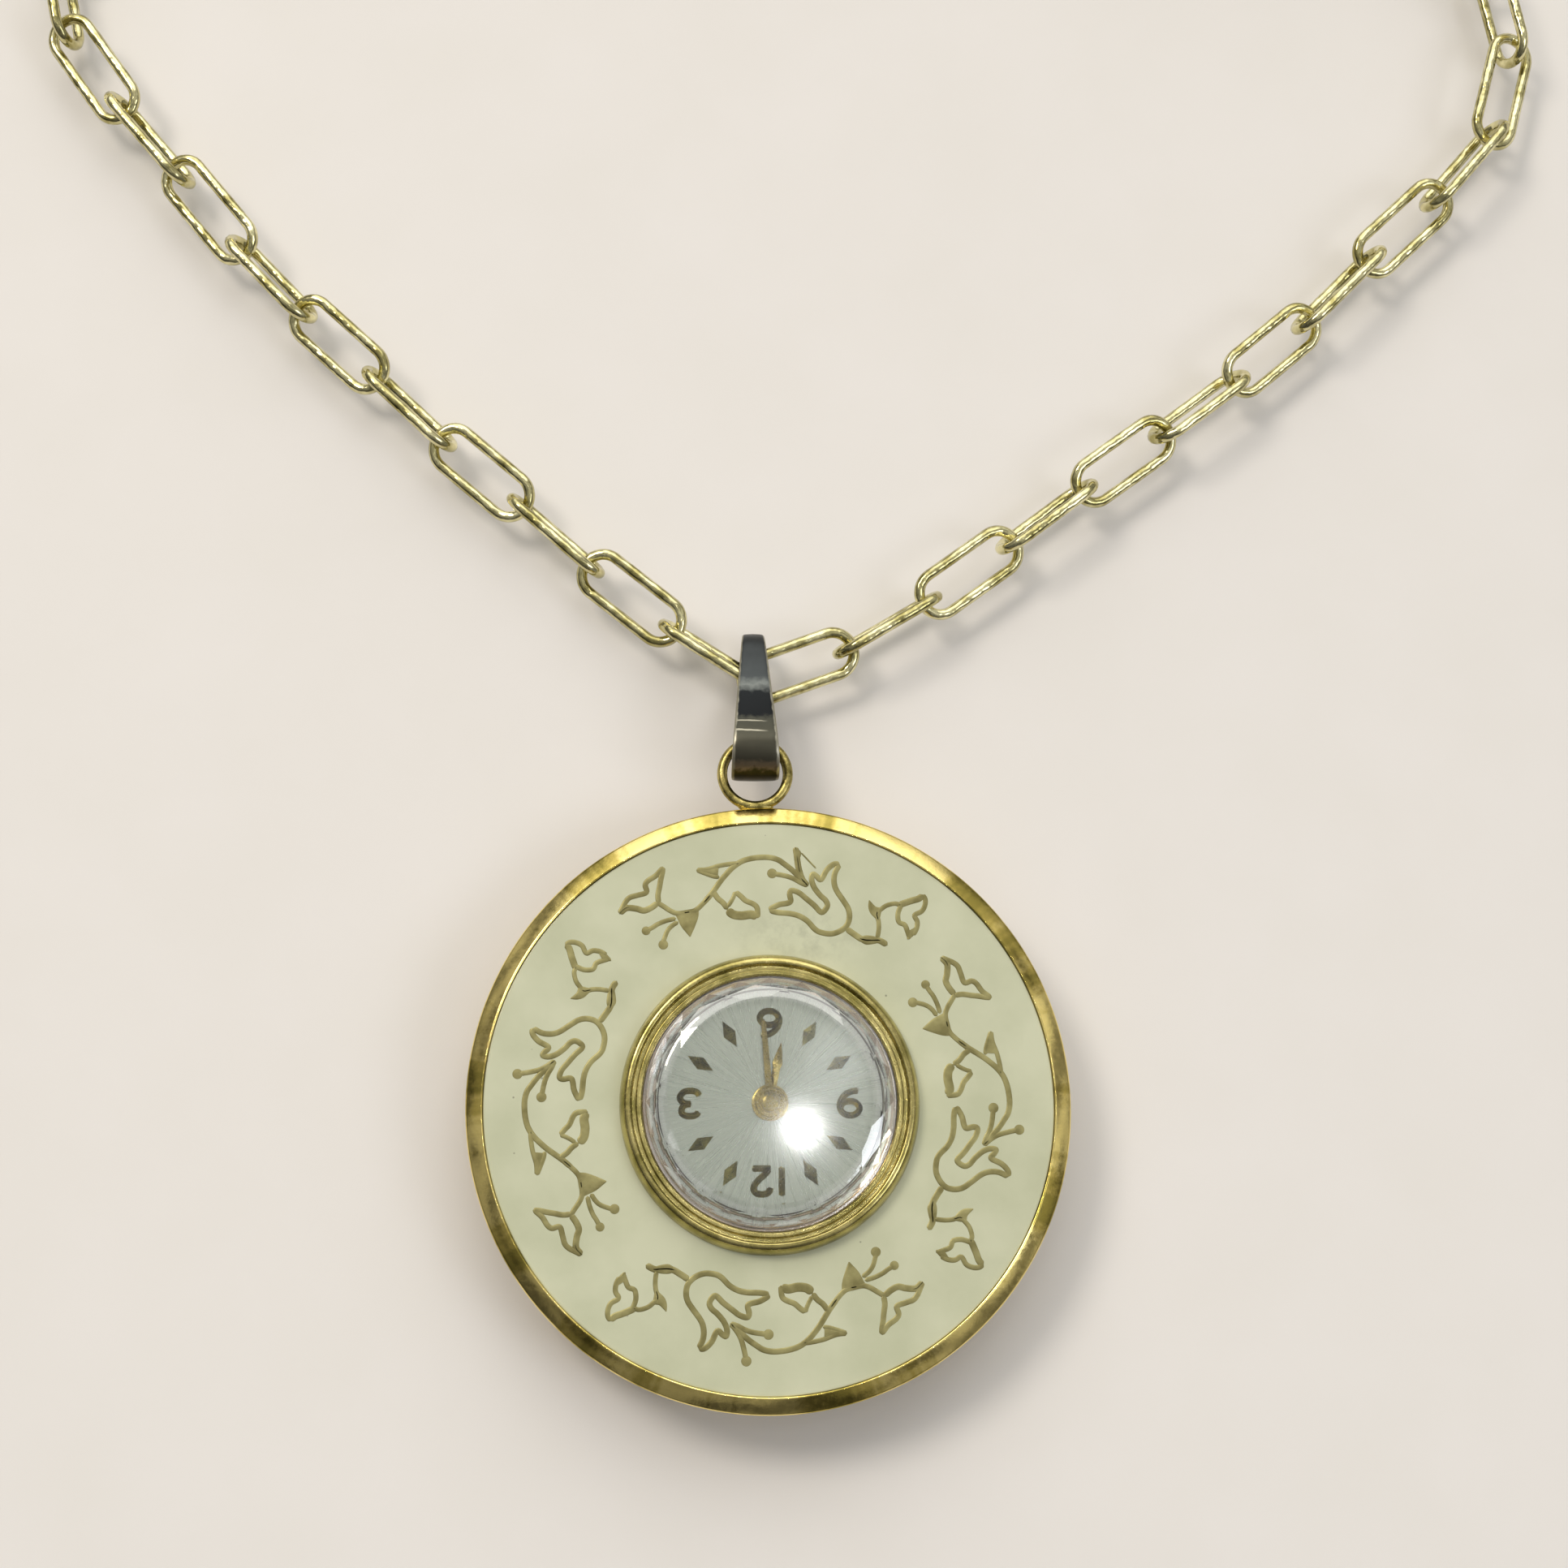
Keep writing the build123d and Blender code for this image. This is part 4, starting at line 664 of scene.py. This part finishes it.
class PENDANT_OT_enamel(PieceOperator, bpy.types.Operator):
    """Flat enamel ring, slightly rounded where it meets the rim and the bezel"""
    bl_idname = "pendant.enamel"
    bl_label = "Enamel"

    def execute(self, context):
        # A narrow ring of faces beside each rounded corner keeps the shading of the flat top level
        profile = round_corners([
            (SEAT_RADIUS, FLANGE_TOP, 0.0), (ENAMEL_RADIUS, FLANGE_TOP, 0.0),
            (ENAMEL_RADIUS, ENAMEL_TOP, 0.12), (17.65, ENAMEL_TOP, 0.0), (SEAT_RADIUS + 0.2, ENAMEL_TOP, 0.0),
            (SEAT_RADIUS, ENAMEL_TOP, 0.1)])
        make_piece("enamel_plate", turned(profile, 384), ivory_enamel, "watch", ["enamel_ring"], 50)
        return {"FINISHED"}


class PENDANT_OT_vine(PieceOperator, bpy.types.Operator):
    """Gilt vine, one traced motif repeated on the four sides of the enamel"""
    bl_idname = "pendant.vine"
    bl_label = "Vine"

    def execute(self, context):
        height = context.scene.pendant_sizes.vine_height / MM
        # A berry's profile, in shares of its radius and of the vine's height
        dome = ((0.0, 1.3), (0.6, 1.0), (0.93, 0.6), (1.0, -0.5), (0.0, -0.5))
        for side, degrees, shift in VINE_SIDES:
            turn, shift = math.radians(degrees), np.array(shift)
            top = side == "top"
            strokes = VINE_STROKES + ([VINE_SPIKE, VINE_SPIKE_VEIN] if top else [VINE_STAMEN])
            fills = VINE_FILLS + ([VINE_SPIKE_FILL] if top else [])
            berries = VINE_BERRIES + ([] if top else [VINE_STAMEN_BERRY])
            parts = [stroke(plane_turn(line, turn) + shift, width * VINE_SWELL, ENAMEL_TOP, height)
                     for width, line in strokes]
            parts += [raised_strip(*(smooth_line(plane_turn(edge, turn) + shift) for edge in edges),
                                   ENAMEL_TOP, height) for edges in fills]
            for place, radius in berries:
                profile = [(radius * out, ENAMEL_TOP + height * up) for out, up in dome]
                parts.append(turned(profile, 24, False, plane_turn(place, turn) + shift))
            make_piece("vine_" + side, joined(parts), vine_gilt, "watch")
        return {"FINISHED"}


class PENDANT_OT_bezel(PieceOperator, bpy.types.Operator):
    """Rounded bezel with a groove and a thin inner ring"""
    bl_idname = "pendant.bezel"
    bl_label = "Bezel"

    def execute(self, context):
        profile = round_corners([
            (BEZEL_INNER, ENAMEL_TOP, 0.0), (BEZEL_RADIUS, ENAMEL_TOP, 0.04), (9.3, 6.3, 0.3),
            (9.02, 6.8, 0.25), (8.68, 6.78, 0.1), (8.62, 6.15, 0.03), (8.36, 6.15, 0.03), (8.32, 6.55, 0.06),
            (8.02, 6.55, 0.06), (BEZEL_INNER, 6.35, 0.05)], 7)
        make_piece("bezel_ring", turned(profile, 320), bezel_gilt, "watch", ["bezel"], 60)
        return {"FINISHED"}


class PENDANT_OT_crystal(PieceOperator, bpy.types.Operator):
    """Crystal: a round wall, two bands of three-sided facets, a flat table, and a hollow for the hands"""
    bl_idname = "pendant.crystal"
    bl_label = "Crystal"

    def execute(self, context):
        facets = context.scene.pendant_sizes.crystal_facets
        # Faces of the wall under each facet
        under = 8
        steps = facets * under
        outside = [(CRYSTAL_RADIUS, 7.1), (CRYSTAL_RADIUS, 6.32), (7.74, 6.26), (7.93, 6.25), (7.93, 5.76),
                   (7.9, 5.7), (6.83, 5.7), (6.8, 5.75), (6.8, 6.15), (6.74, 6.27), (6.6, 6.33), (3.0, 6.33),
                   (0.0, 6.33)]
        wall, faces = turned(outside, steps, False)
        number = np.arange(facets)
        after = (number + 1) % facets
        # Each ring of corners is turned half a facet against the ring outside it, and every other corner of
        # the middle ring lies a little further out and lower, so that neighbouring facets lean differently
        sway = (-1.0) ** number
        rings = ((CRYSTAL_RADIUS, 7.18), (7.13 + 0.13 * sway, 7.7 - 0.12 * sway), (6.42, TABLE_TOP))
        points = [wall]
        for place, (radius, height) in enumerate(rings):
            turn = (number + place / 2) * 2 * math.pi / facets
            points.append(np.stack([radius * np.cos(turn), radius * np.sin(turn), height + 0 * turn], -1))
        start = len(wall)
        low = np.arange(under + 1)[None, :] + number[:, None] * under
        faces = faces.tolist()
        faces += np.concatenate([start + after[:, None], start + number[:, None], low % steps], 1).tolist()
        for outer in (start, start + facets):
            inner = outer + facets
            faces += np.stack([outer + number, outer + after, inner + number], -1).tolist()
            faces += np.stack([inner + number, outer + after, inner + after], -1).tolist()
        faces.append((start + 2 * facets + number).tolist())
        make_piece("crystal_dome", (np.concatenate(points), faces), crystal_acrylic, "watch", ["crystal"],
                   3)
        steps_down = [(6.95, 5.36), (8.14, 5.36), (8.14, 5.64), (7.84, 5.64), (7.78, 5.54), (7.42, 5.54),
                      (7.36, 5.45), (6.95, 5.45)]
        make_piece("dial_ring", turned(steps_down), ring_nickel, "watch")
        return {"FINISHED"}


class PENDANT_OT_dial(PieceOperator, bpy.types.Operator):
    """Silvered dial, a flat plate with its middle hole"""
    bl_idname = "pendant.dial"
    bl_label = "Dial"

    def execute(self, context):
        profile = [(DIAL_HOLE, DIAL_TOP), (DIAL_RADIUS, DIAL_TOP), (DIAL_RADIUS, DIAL_LOW),
                   (DIAL_HOLE, DIAL_LOW)]
        make_piece("dial_plate", turned(profile), silvered_dial, "watch", ["dial"])
        return {"FINISHED"}


class PENDANT_OT_figures(PieceOperator, bpy.types.Operator):
    """Applied figures 12, 3, 6 and 9 and eight lozenges, upside down as the pendant hangs"""
    bl_idname = "pendant.figures"
    bl_label = "Figures"

    def execute(self, context):
        width = context.scene.pendant_sizes.figure_width / MM
        turned_six = [[(-x, -y) for x, y in line] for line in FIGURE_SIX]
        placed = [(FIGURE_ONE, (0.7, 0.15 - FIGURE_RADIUS)), (FIGURE_TWO, (-0.56, 0.15 - FIGURE_RADIUS)),
                  (FIGURE_THREE, (-FIGURE_RADIUS, 0.0)), (FIGURE_SIX, (0.0, FIGURE_RADIUS)),
                  (turned_six, (FIGURE_RADIUS, 0.0))]
        parts = [stroke(np.array(middle) - np.array(line), width, FIGURE_FOOT, 0.3, True, 0.12)
                 for lines, middle in placed for line in lines]
        # The lozenges point outwards and are 1.8 mm long and 0.84 mm wide
        along = FIGURE_RADIUS + np.array((-0.9, 0.0, 0.9))
        across = np.array((0.0, 0.42, 0.0))
        for number in range(12):
            if number % 3:
                turn = number * math.pi / 6
                edges = [plane_turn(np.stack([along, side * across], -1), turn) for side in (1, -1)]
                parts.append(raised_strip(*edges, FIGURE_FOOT, 0.32, True))
        make_piece("dial_figures", joined(parts), figure_gilt, "watch", ["dial_markers"], 20)
        return {"FINISHED"}


class PENDANT_OT_hands(PieceOperator, bpy.types.Operator):
    """Slim hour and minute hands with turned hubs and a domed cap"""
    bl_idname = "pendant.hands"
    bl_label = "Hands"

    def execute(self, context):
        # Each hand: its name, turn in degrees, level, half outline from hub to tip, and its hub's profile
        hands = (("hour", 79.0, HOUR_LEVEL, [(0.7, 0.2), (2.2, 0.24), (2.5, 0.32), (3.1, 0.2), (3.8, 0.02)],
                  [(0.42, 0.0), (1.15, 0.0), (1.15, 0.08), (1.08, 0.12), (0.98, 0.12), (0.42, 0.12)]),
                 ("minute", 94.3, MINUTE_LEVEL,
                  [(0.6, 0.22), (2.0, 0.2), (4.0, 0.17), (5.05, 0.14), (5.2, 0.05)],
                  [(0.0, 0.0), (0.95, 0.0), (0.95, 0.06), (0.88, 0.12), (0.74, 0.12), (0.7, 0.08),
                   (0.62, 0.08), (0.6, 0.14), (0.58, 0.24), (0.5, 0.31), (0.36, 0.35), (0.18, 0.37),
                   (0.0, 0.37)]))
        for hand, degrees, level, edge, hub in hands:
            edges = [plane_turn(np.array(edge) * (1, side), math.radians(degrees)) for side in (1, -1)]
            blade = raised_strip(*edges, level, 0.12, True)
            ring = turned([(radius, level + height) for radius, height in hub], 128, hub[0][0] > 0)
            make_piece(hand + "_hand_piece", joined([blade, ring]), gilt_hands, hand + "_hand_group",
                       [hand + "_hand"])
        return {"FINISHED"}


class PENDANT_OT_ring(PieceOperator, bpy.types.Operator):
    """Brass wire ring with the solder that joins it to the rim"""
    bl_idname = "pendant.ring"
    bl_label = "Ring"

    def execute(self, context):
        reach, wire_radius, turn = 2.12, 0.33, around(128)
        path = RING_MIDDLE + reach * np.stack([np.cos(turn), np.sin(turn), 0 * turn], -1)
        ring = swept(path, round_section(wire_radius, 20), UP)
        across = np.linspace(0, math.pi, 17)
        blob, faces = turned(np.stack([np.sin(across), np.cos(across)], -1), 40, False)
        solder = (blob * (1.15, 0.34, 0.34) + SOLDER_MIDDLE, faces)
        make_piece("soldered_ring", joined([ring, solder]), ring_brass, "watch", ["loop_ring"])
        return {"FINISHED"}


class PENDANT_OT_knob(PieceOperator, bpy.types.Operator):
    """Fluted winding knob under the flange"""
    bl_idname = "pendant.knob"
    bl_label = "Winding knob"

    def execute(self, context):
        low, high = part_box("winding_knob")
        start, end = high[0] / MM, low[0] / MM
        share = np.array((0.0, 0.0, 0.06, 0.5, 0.94, 1.0, 1.0))[:, None]
        reach = np.array((0.0, 0.93, 1.0, 1.0, 1.0, 0.93, 0.0))[:, None]
        turn = around(KNOB_FLUTES * 10)
        # The flutes go 0.11 mm into a radius of 1.45 mm
        flute = 1.45 - 0.055 * (1 - np.cos(KNOB_FLUTES * turn))
        points = np.stack([start + (end - start) * share + 0 * turn, reach * flute * np.cos(turn),
                           STEM_HEIGHT + reach * flute * np.sin(turn)], -1)
        shape = points.reshape(-1, 3), grid_faces(*points.shape[:2], False)
        # The knob takes the rim's finish, its painted reflection patches included
        make_piece("fluted_knob", shape, rim_gilt, "knob", ["winding_knob"], 40)
        return {"FINISHED"}


class PENDANT_OT_bail(PieceOperator, bpy.types.Operator):
    """Folded dark strip: a long loop around the ring's wire that tapers towards the chain"""
    bl_idname = "pendant.bail"
    bl_label = "Bail"

    def execute(self, context):
        # The strip's two bends lie `near` and `far` from the hinge, and it is widest at the near one
        near, far, radius = -0.55, 6.5, 1.95
        ends, widths = (near - radius, far + radius), np.array((3.1, 1.35))
        turn = np.linspace(0, math.pi, 25)
        top = np.linspace(near, far, 41)[1:-1]
        along = np.concatenate([near - radius * np.sin(turn), top, far + radius * np.sin(turn), top[::-1]])
        rise = np.concatenate([-radius * np.cos(turn), 0 * top + radius, radius * np.cos(turn),
                               0 * top - radius])
        path = HINGE + along[:, None] * BAIL_LEAN + rise[:, None] * BAIL_UP
        width = np.interp(along, ends, widths)
        corner = around(24)
        across = np.sign(np.sin(corner)) * np.abs(np.sin(corner)) ** 0.35
        thick = np.sign(np.cos(corner)) * np.abs(np.cos(corner)) ** 0.5
        # The strip is 0.32 mm thick, and hollowed a little between its edges, as one bent over a bar is
        section = np.stack([0.16 * thick + 0.04 * across ** 2 + 0 * width[:, None],
                            across * width[:, None] / 2], -1)
        piece = make_piece("bail_strip", swept(path, section, RIGHT), bail_gunmetal, "bail", ["bail"],
                           45)
        mesh = piece.data
        places = vertex_places(mesh) - HINGE
        way, height = places @ BAIL_LEAN, places @ BAIL_UP
        bend = np.arctan2(height, near - way)
        run = np.where(way < near, near - radius * (math.pi / 2 - bend), way)
        # The map starts at the outermost point of the near bend and ends at that of the far one
        map_start, map_length = -3.61, 12.1
        share = (run - map_start) / map_length
        half = np.interp(way, ends, widths / 2)
        corners = np.empty(len(mesh.loops), np.int32)
        mesh.loops.foreach_get("vertex_index", corners)
        flat = np.stack([share, places[:, 0] / half / 2 + 0.5], -1)[corners]
        mesh.uv_layers.new(name="strip").data.foreach_set("uv", flat.ravel())
        return {"FINISHED"}


def loose_links(node):
    """The separate links of a node: each corner starts with a number of its own, and corners that share a
    place or a triangle take the lowest of theirs until none changes."""
    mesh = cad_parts[node].data
    places = vertex_places(mesh)
    mesh.calc_loop_triangles()
    triangles = np.empty(len(mesh.loop_triangles) * 3, np.int32)
    mesh.loop_triangles.foreach_get("vertices", triangles)
    _, same = np.unique(np.round(places, 3), axis=0, return_inverse=True)
    same = same.ravel()
    triangles = same[triangles].reshape(-1, 3)
    label = np.arange(same.max() + 1)
    while True:
        lowest = label[triangles].min(1)
        spread = label.copy()
        np.minimum.at(spread, triangles.ravel(), np.repeat(lowest, 3))
        if (spread == label).all():
            break
        label = spread
    return [places[label[same] == number] for number in np.unique(label)]


def oval_wire(places, wire, steps=28):
    """Round wire along a long oval fitted to a link's corners: two straight sides and two half circles,
    with the length, width and lie of the corners' main directions."""
    _, _, directions = np.linalg.svd(places - places.mean(0), full_matrices=False)
    along, across, normal = directions
    spans = [(places @ direction) for direction in directions]
    middle = sum((span.max() + span.min()) / 2 * direction for span, direction in zip(spans, directions))
    length, breadth = (np.ptp(span) / 2 - MODEL_WIRE / 2 for span in spans[:2])
    turn = np.linspace(-math.pi / 2, math.pi / 2, steps)
    x, y = length - breadth + breadth * np.cos(turn), breadth * np.sin(turn)
    x, y = np.concatenate([x, -x]), np.concatenate([y, -y])
    path = middle + x[:, None] * along + y[:, None] * across
    return swept(path, round_section(wire / 2, 12), normal)


class PENDANT_OT_chain(PieceOperator, bpy.types.Operator):
    """Long oval links of round wire, each in the place of its own link of the model"""
    bl_idname = "pendant.chain"
    bl_label = "Chain"

    def execute(self, context):
        wire = context.scene.pendant_sizes.link_wire / MM
        for side in ("left", "right"):
            for number in range(1, 8):
                node = f"link_{side}_{number}"
                places = vertex_places(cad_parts[node].data)
                make_piece("wire_" + node, oval_wire(places, wire), link_gilt, node, [node])
            node = "chain_" + side
            rest = [oval_wire(places, wire, 20) for places in loose_links(node)]
            make_piece("wire_" + node, joined(rest), link_gilt, node, [node])
        return {"FINISHED"}


class PENDANT_OT_metals(PieceOperator, bpy.types.Operator):
    """Finishes for the model's own pieces that stay as they are"""
    bl_idname = "pendant.metals"
    bl_label = "Movement and clasp"

    def execute(self, context):
        finishes = {
            rolled_brass: ("minute_wheel", "hour_wheel", "barrel", "centre_wheel", "third_wheel",
                           "fourth_wheel", "balance_wheel"),
            polished_steel: ("cannon_pinion", "bridge_screws", "escape_wheel", "pallet_fork", "ratchet_wheel",
                             "winding_wheel", "click", "winding_stem", "stem_collar", "winding_pinion",
                             "clutch", "setting_lever", "yoke", "hairspring"),
            satin_nickel: ("movement_plate", "barrel_bridge", "train_bridge", "balance_cock",
                           "pallet_bridge"),
            jewel_ruby: ("jewels",),
            link_gilt: ("clasp", "clasp_bolt", "end_ring"),
        }
        for maker, nodes in finishes.items():
            for node in nodes:
                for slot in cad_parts[node].material_slots:
                    slot.material = finish(maker)
        return {"FINISHED"}


def room_light():
    """Room around the table, for the polished pieces to reflect: darker towards the horizon and towards the
    front left, with patches of light and shade, and a bright window beyond the chain. The camera itself,
    and what it sees through the crystal, is plain pale."""
    world = bpy.data.worlds.new("room_light")
    world.use_nodes = True
    tree = world.node_tree
    tree.nodes.clear()
    way = add(tree, "TexCoord").outputs["Generated"]
    height = add(tree, "SeparateXYZ", {"Vector": way}).outputs["Z"]
    sky = add(tree, "MapRange", {"Value": height, "From Min": 0.05, "From Max": 0.85, "To Min": 0.12,
                                 "To Max": 0.62})
    shifted = add(tree, "Mapping", {"Vector": way, "Location": (2.6, 3.9, 7.7)})
    cloud = add(tree, "TexNoise", {"Vector": shifted, "Scale": 6.0, "Detail": 1.5})
    patch = add(tree, "MapRange", {"Value": cloud, "From Min": 0.44, "From Max": 0.56, "To Min": 0.45,
                                   "To Max": 1.55})
    lean = add(tree, "VectorMath", {0: way, 1: (0.45, 0.88, 0.0)}, operation="DOT_PRODUCT")
    side = add(tree, "MapRange", {"Value": lean, "From Min": -0.8, "From Max": 0.8, "To Min": 0.35,
                                  "To Max": 1.55})
    shaded = add(tree, "Math", {0: sky, 1: side}, operation="MULTIPLY")
    toward = add(tree, "VectorMath", {0: way, 1: (0.0, 0.78, 0.62)}, operation="DOT_PRODUCT")
    window = add(tree, "MapRange", {"Value": toward, "From Min": 0.8, "From Max": 0.93, "To Max": 1.5})
    light = add(tree, "Math", {0: shaded, 1: patch, 2: window}, operation="MULTIPLY_ADD")
    room = add(tree, "Background", {"Color": linear("#F6F4EE"), "Strength": light})
    plain = add(tree, "Background", {"Color": linear("#F1EFEC"), "Strength": 0.9})
    seen = add(tree, "LightPath")
    open_view = add(tree, "Math", {0: seen.outputs["Is Camera Ray"], 1: seen.outputs["Is Transmission Ray"]},
                    operation="MAXIMUM")
    add(tree, "OutputWorld", {"Surface": add(tree, "MixShader", {0: open_view, 1: room, 2: plain})})
    return world


class PENDANT_OT_stage(PieceOperator, bpy.types.Operator):
    """Pale table, soft studio light and the camera"""
    bl_idname = "pendant.stage"
    bl_label = "Stage"

    def execute(self, context):
        scene = context.scene
        # The table lies a little below the back, so that the two never share a plane
        corners = [(x * TABLE_REACH * MM, y * TABLE_REACH * MM, -0.03 * MM)
                   for x, y in ((-1, -1), (1, -1), (1, 1), (-1, 1))]
        mesh = bpy.data.meshes.new("table")
        mesh.from_pydata(corners, [], [(0, 1, 2, 3)])
        mesh.materials.append(finish(table_paint))
        table = bpy.data.objects.new("table", mesh)
        scene.collection.objects.link(table)

        # Each lamp: its name, place in mm, width in mm, power in watts and colour; it looks at the middle
        lamps = (("window_light", (-380, 330, 620), 260, 2.1, "#FFF6E8"),
                 ("fill_light", (480, -180, 520), 300, 0.7, "#F2F6FF"),
                 ("spark_light", (18.0, 28.6, 330), 4.0, 0.009, "#FFFFFF"))
        for name, place, size, power, hex_colour in lamps:
            lamp = bpy.data.lights.new(name, "AREA")
            lamp.shape, lamp.size, lamp.energy, lamp.color = "DISK", size * MM, power, linear(hex_colour)[:3]
            holder = bpy.data.objects.new(name, lamp)
            holder.location = [value * MM for value in place]
            holder.rotation_euler = (-holder.location).to_track_quat("-Z", "Y").to_euler()
            scene.collection.objects.link(holder)
        scene.world = room_light()

        # The photograph's viewing angle and framing, found by laying renders over it
        lens = bpy.data.cameras.new("camera")
        lens.sensor_width, lens.lens = 36.0, FOCUS_PIXELS * 36 / 1932
        lens.clip_start, lens.clip_end = 0.01, 20.0
        camera = bpy.data.objects.new("camera", lens)
        camera.rotation_mode = "YXZ"
        camera.rotation_euler = (math.radians(12.93), math.radians(-2.49), 0.0)
        camera.location = (-6.2 * MM, -17.0 * MM, 169.0 * MM)
        scene.collection.objects.link(camera)
        scene.camera = camera
        scene.view_settings.view_transform = "Standard"
        return {"FINISHED"}


OPERATORS = (PENDANT_OT_stage, PENDANT_OT_case, PENDANT_OT_back, PENDANT_OT_enamel, PENDANT_OT_vine,
             PENDANT_OT_bezel, PENDANT_OT_crystal, PENDANT_OT_dial, PENDANT_OT_figures, PENDANT_OT_hands,
             PENDANT_OT_ring, PENDANT_OT_knob, PENDANT_OT_bail, PENDANT_OT_chain, PENDANT_OT_metals)


class PENDANT_PT_pieces(bpy.types.Panel):
    """Lists the pieces of the pendant watch"""
    bl_label = "Pendant watch"
    bl_idname = "PENDANT_PT_pieces"
    bl_space_type = "VIEW_3D"
    bl_region_type = "UI"
    bl_category = "Pendant watch"

    def draw(self, context):
        for group in (context.scene.pendant_sizes, context.scene.pendant_colours):
            for name in group.bl_rna.properties.keys():
                if name not in ("rna_type", "name"):
                    self.layout.prop(group, name)
        for operator in OPERATORS:
            self.layout.operator(operator.bl_idname)


CLASSES = (PendantSizes, PendantColours) + OPERATORS + (PENDANT_PT_pieces,)


def register():
    for cls in CLASSES:
        bpy.utils.register_class(cls)
    bpy.types.Scene.pendant_sizes = bpy.props.PointerProperty(type=PendantSizes)
    bpy.types.Scene.pendant_colours = bpy.props.PointerProperty(type=PendantColours)


def unregister():
    del bpy.types.Scene.pendant_colours
    del bpy.types.Scene.pendant_sizes
    for cls in reversed(CLASSES):
        bpy.utils.unregister_class(cls)


def main():
    register()
    for operator in OPERATORS:
        group, name = operator.bl_idname.split(".")
        getattr(getattr(bpy.ops, group), name)()


if __name__ == "__main__":
    main()
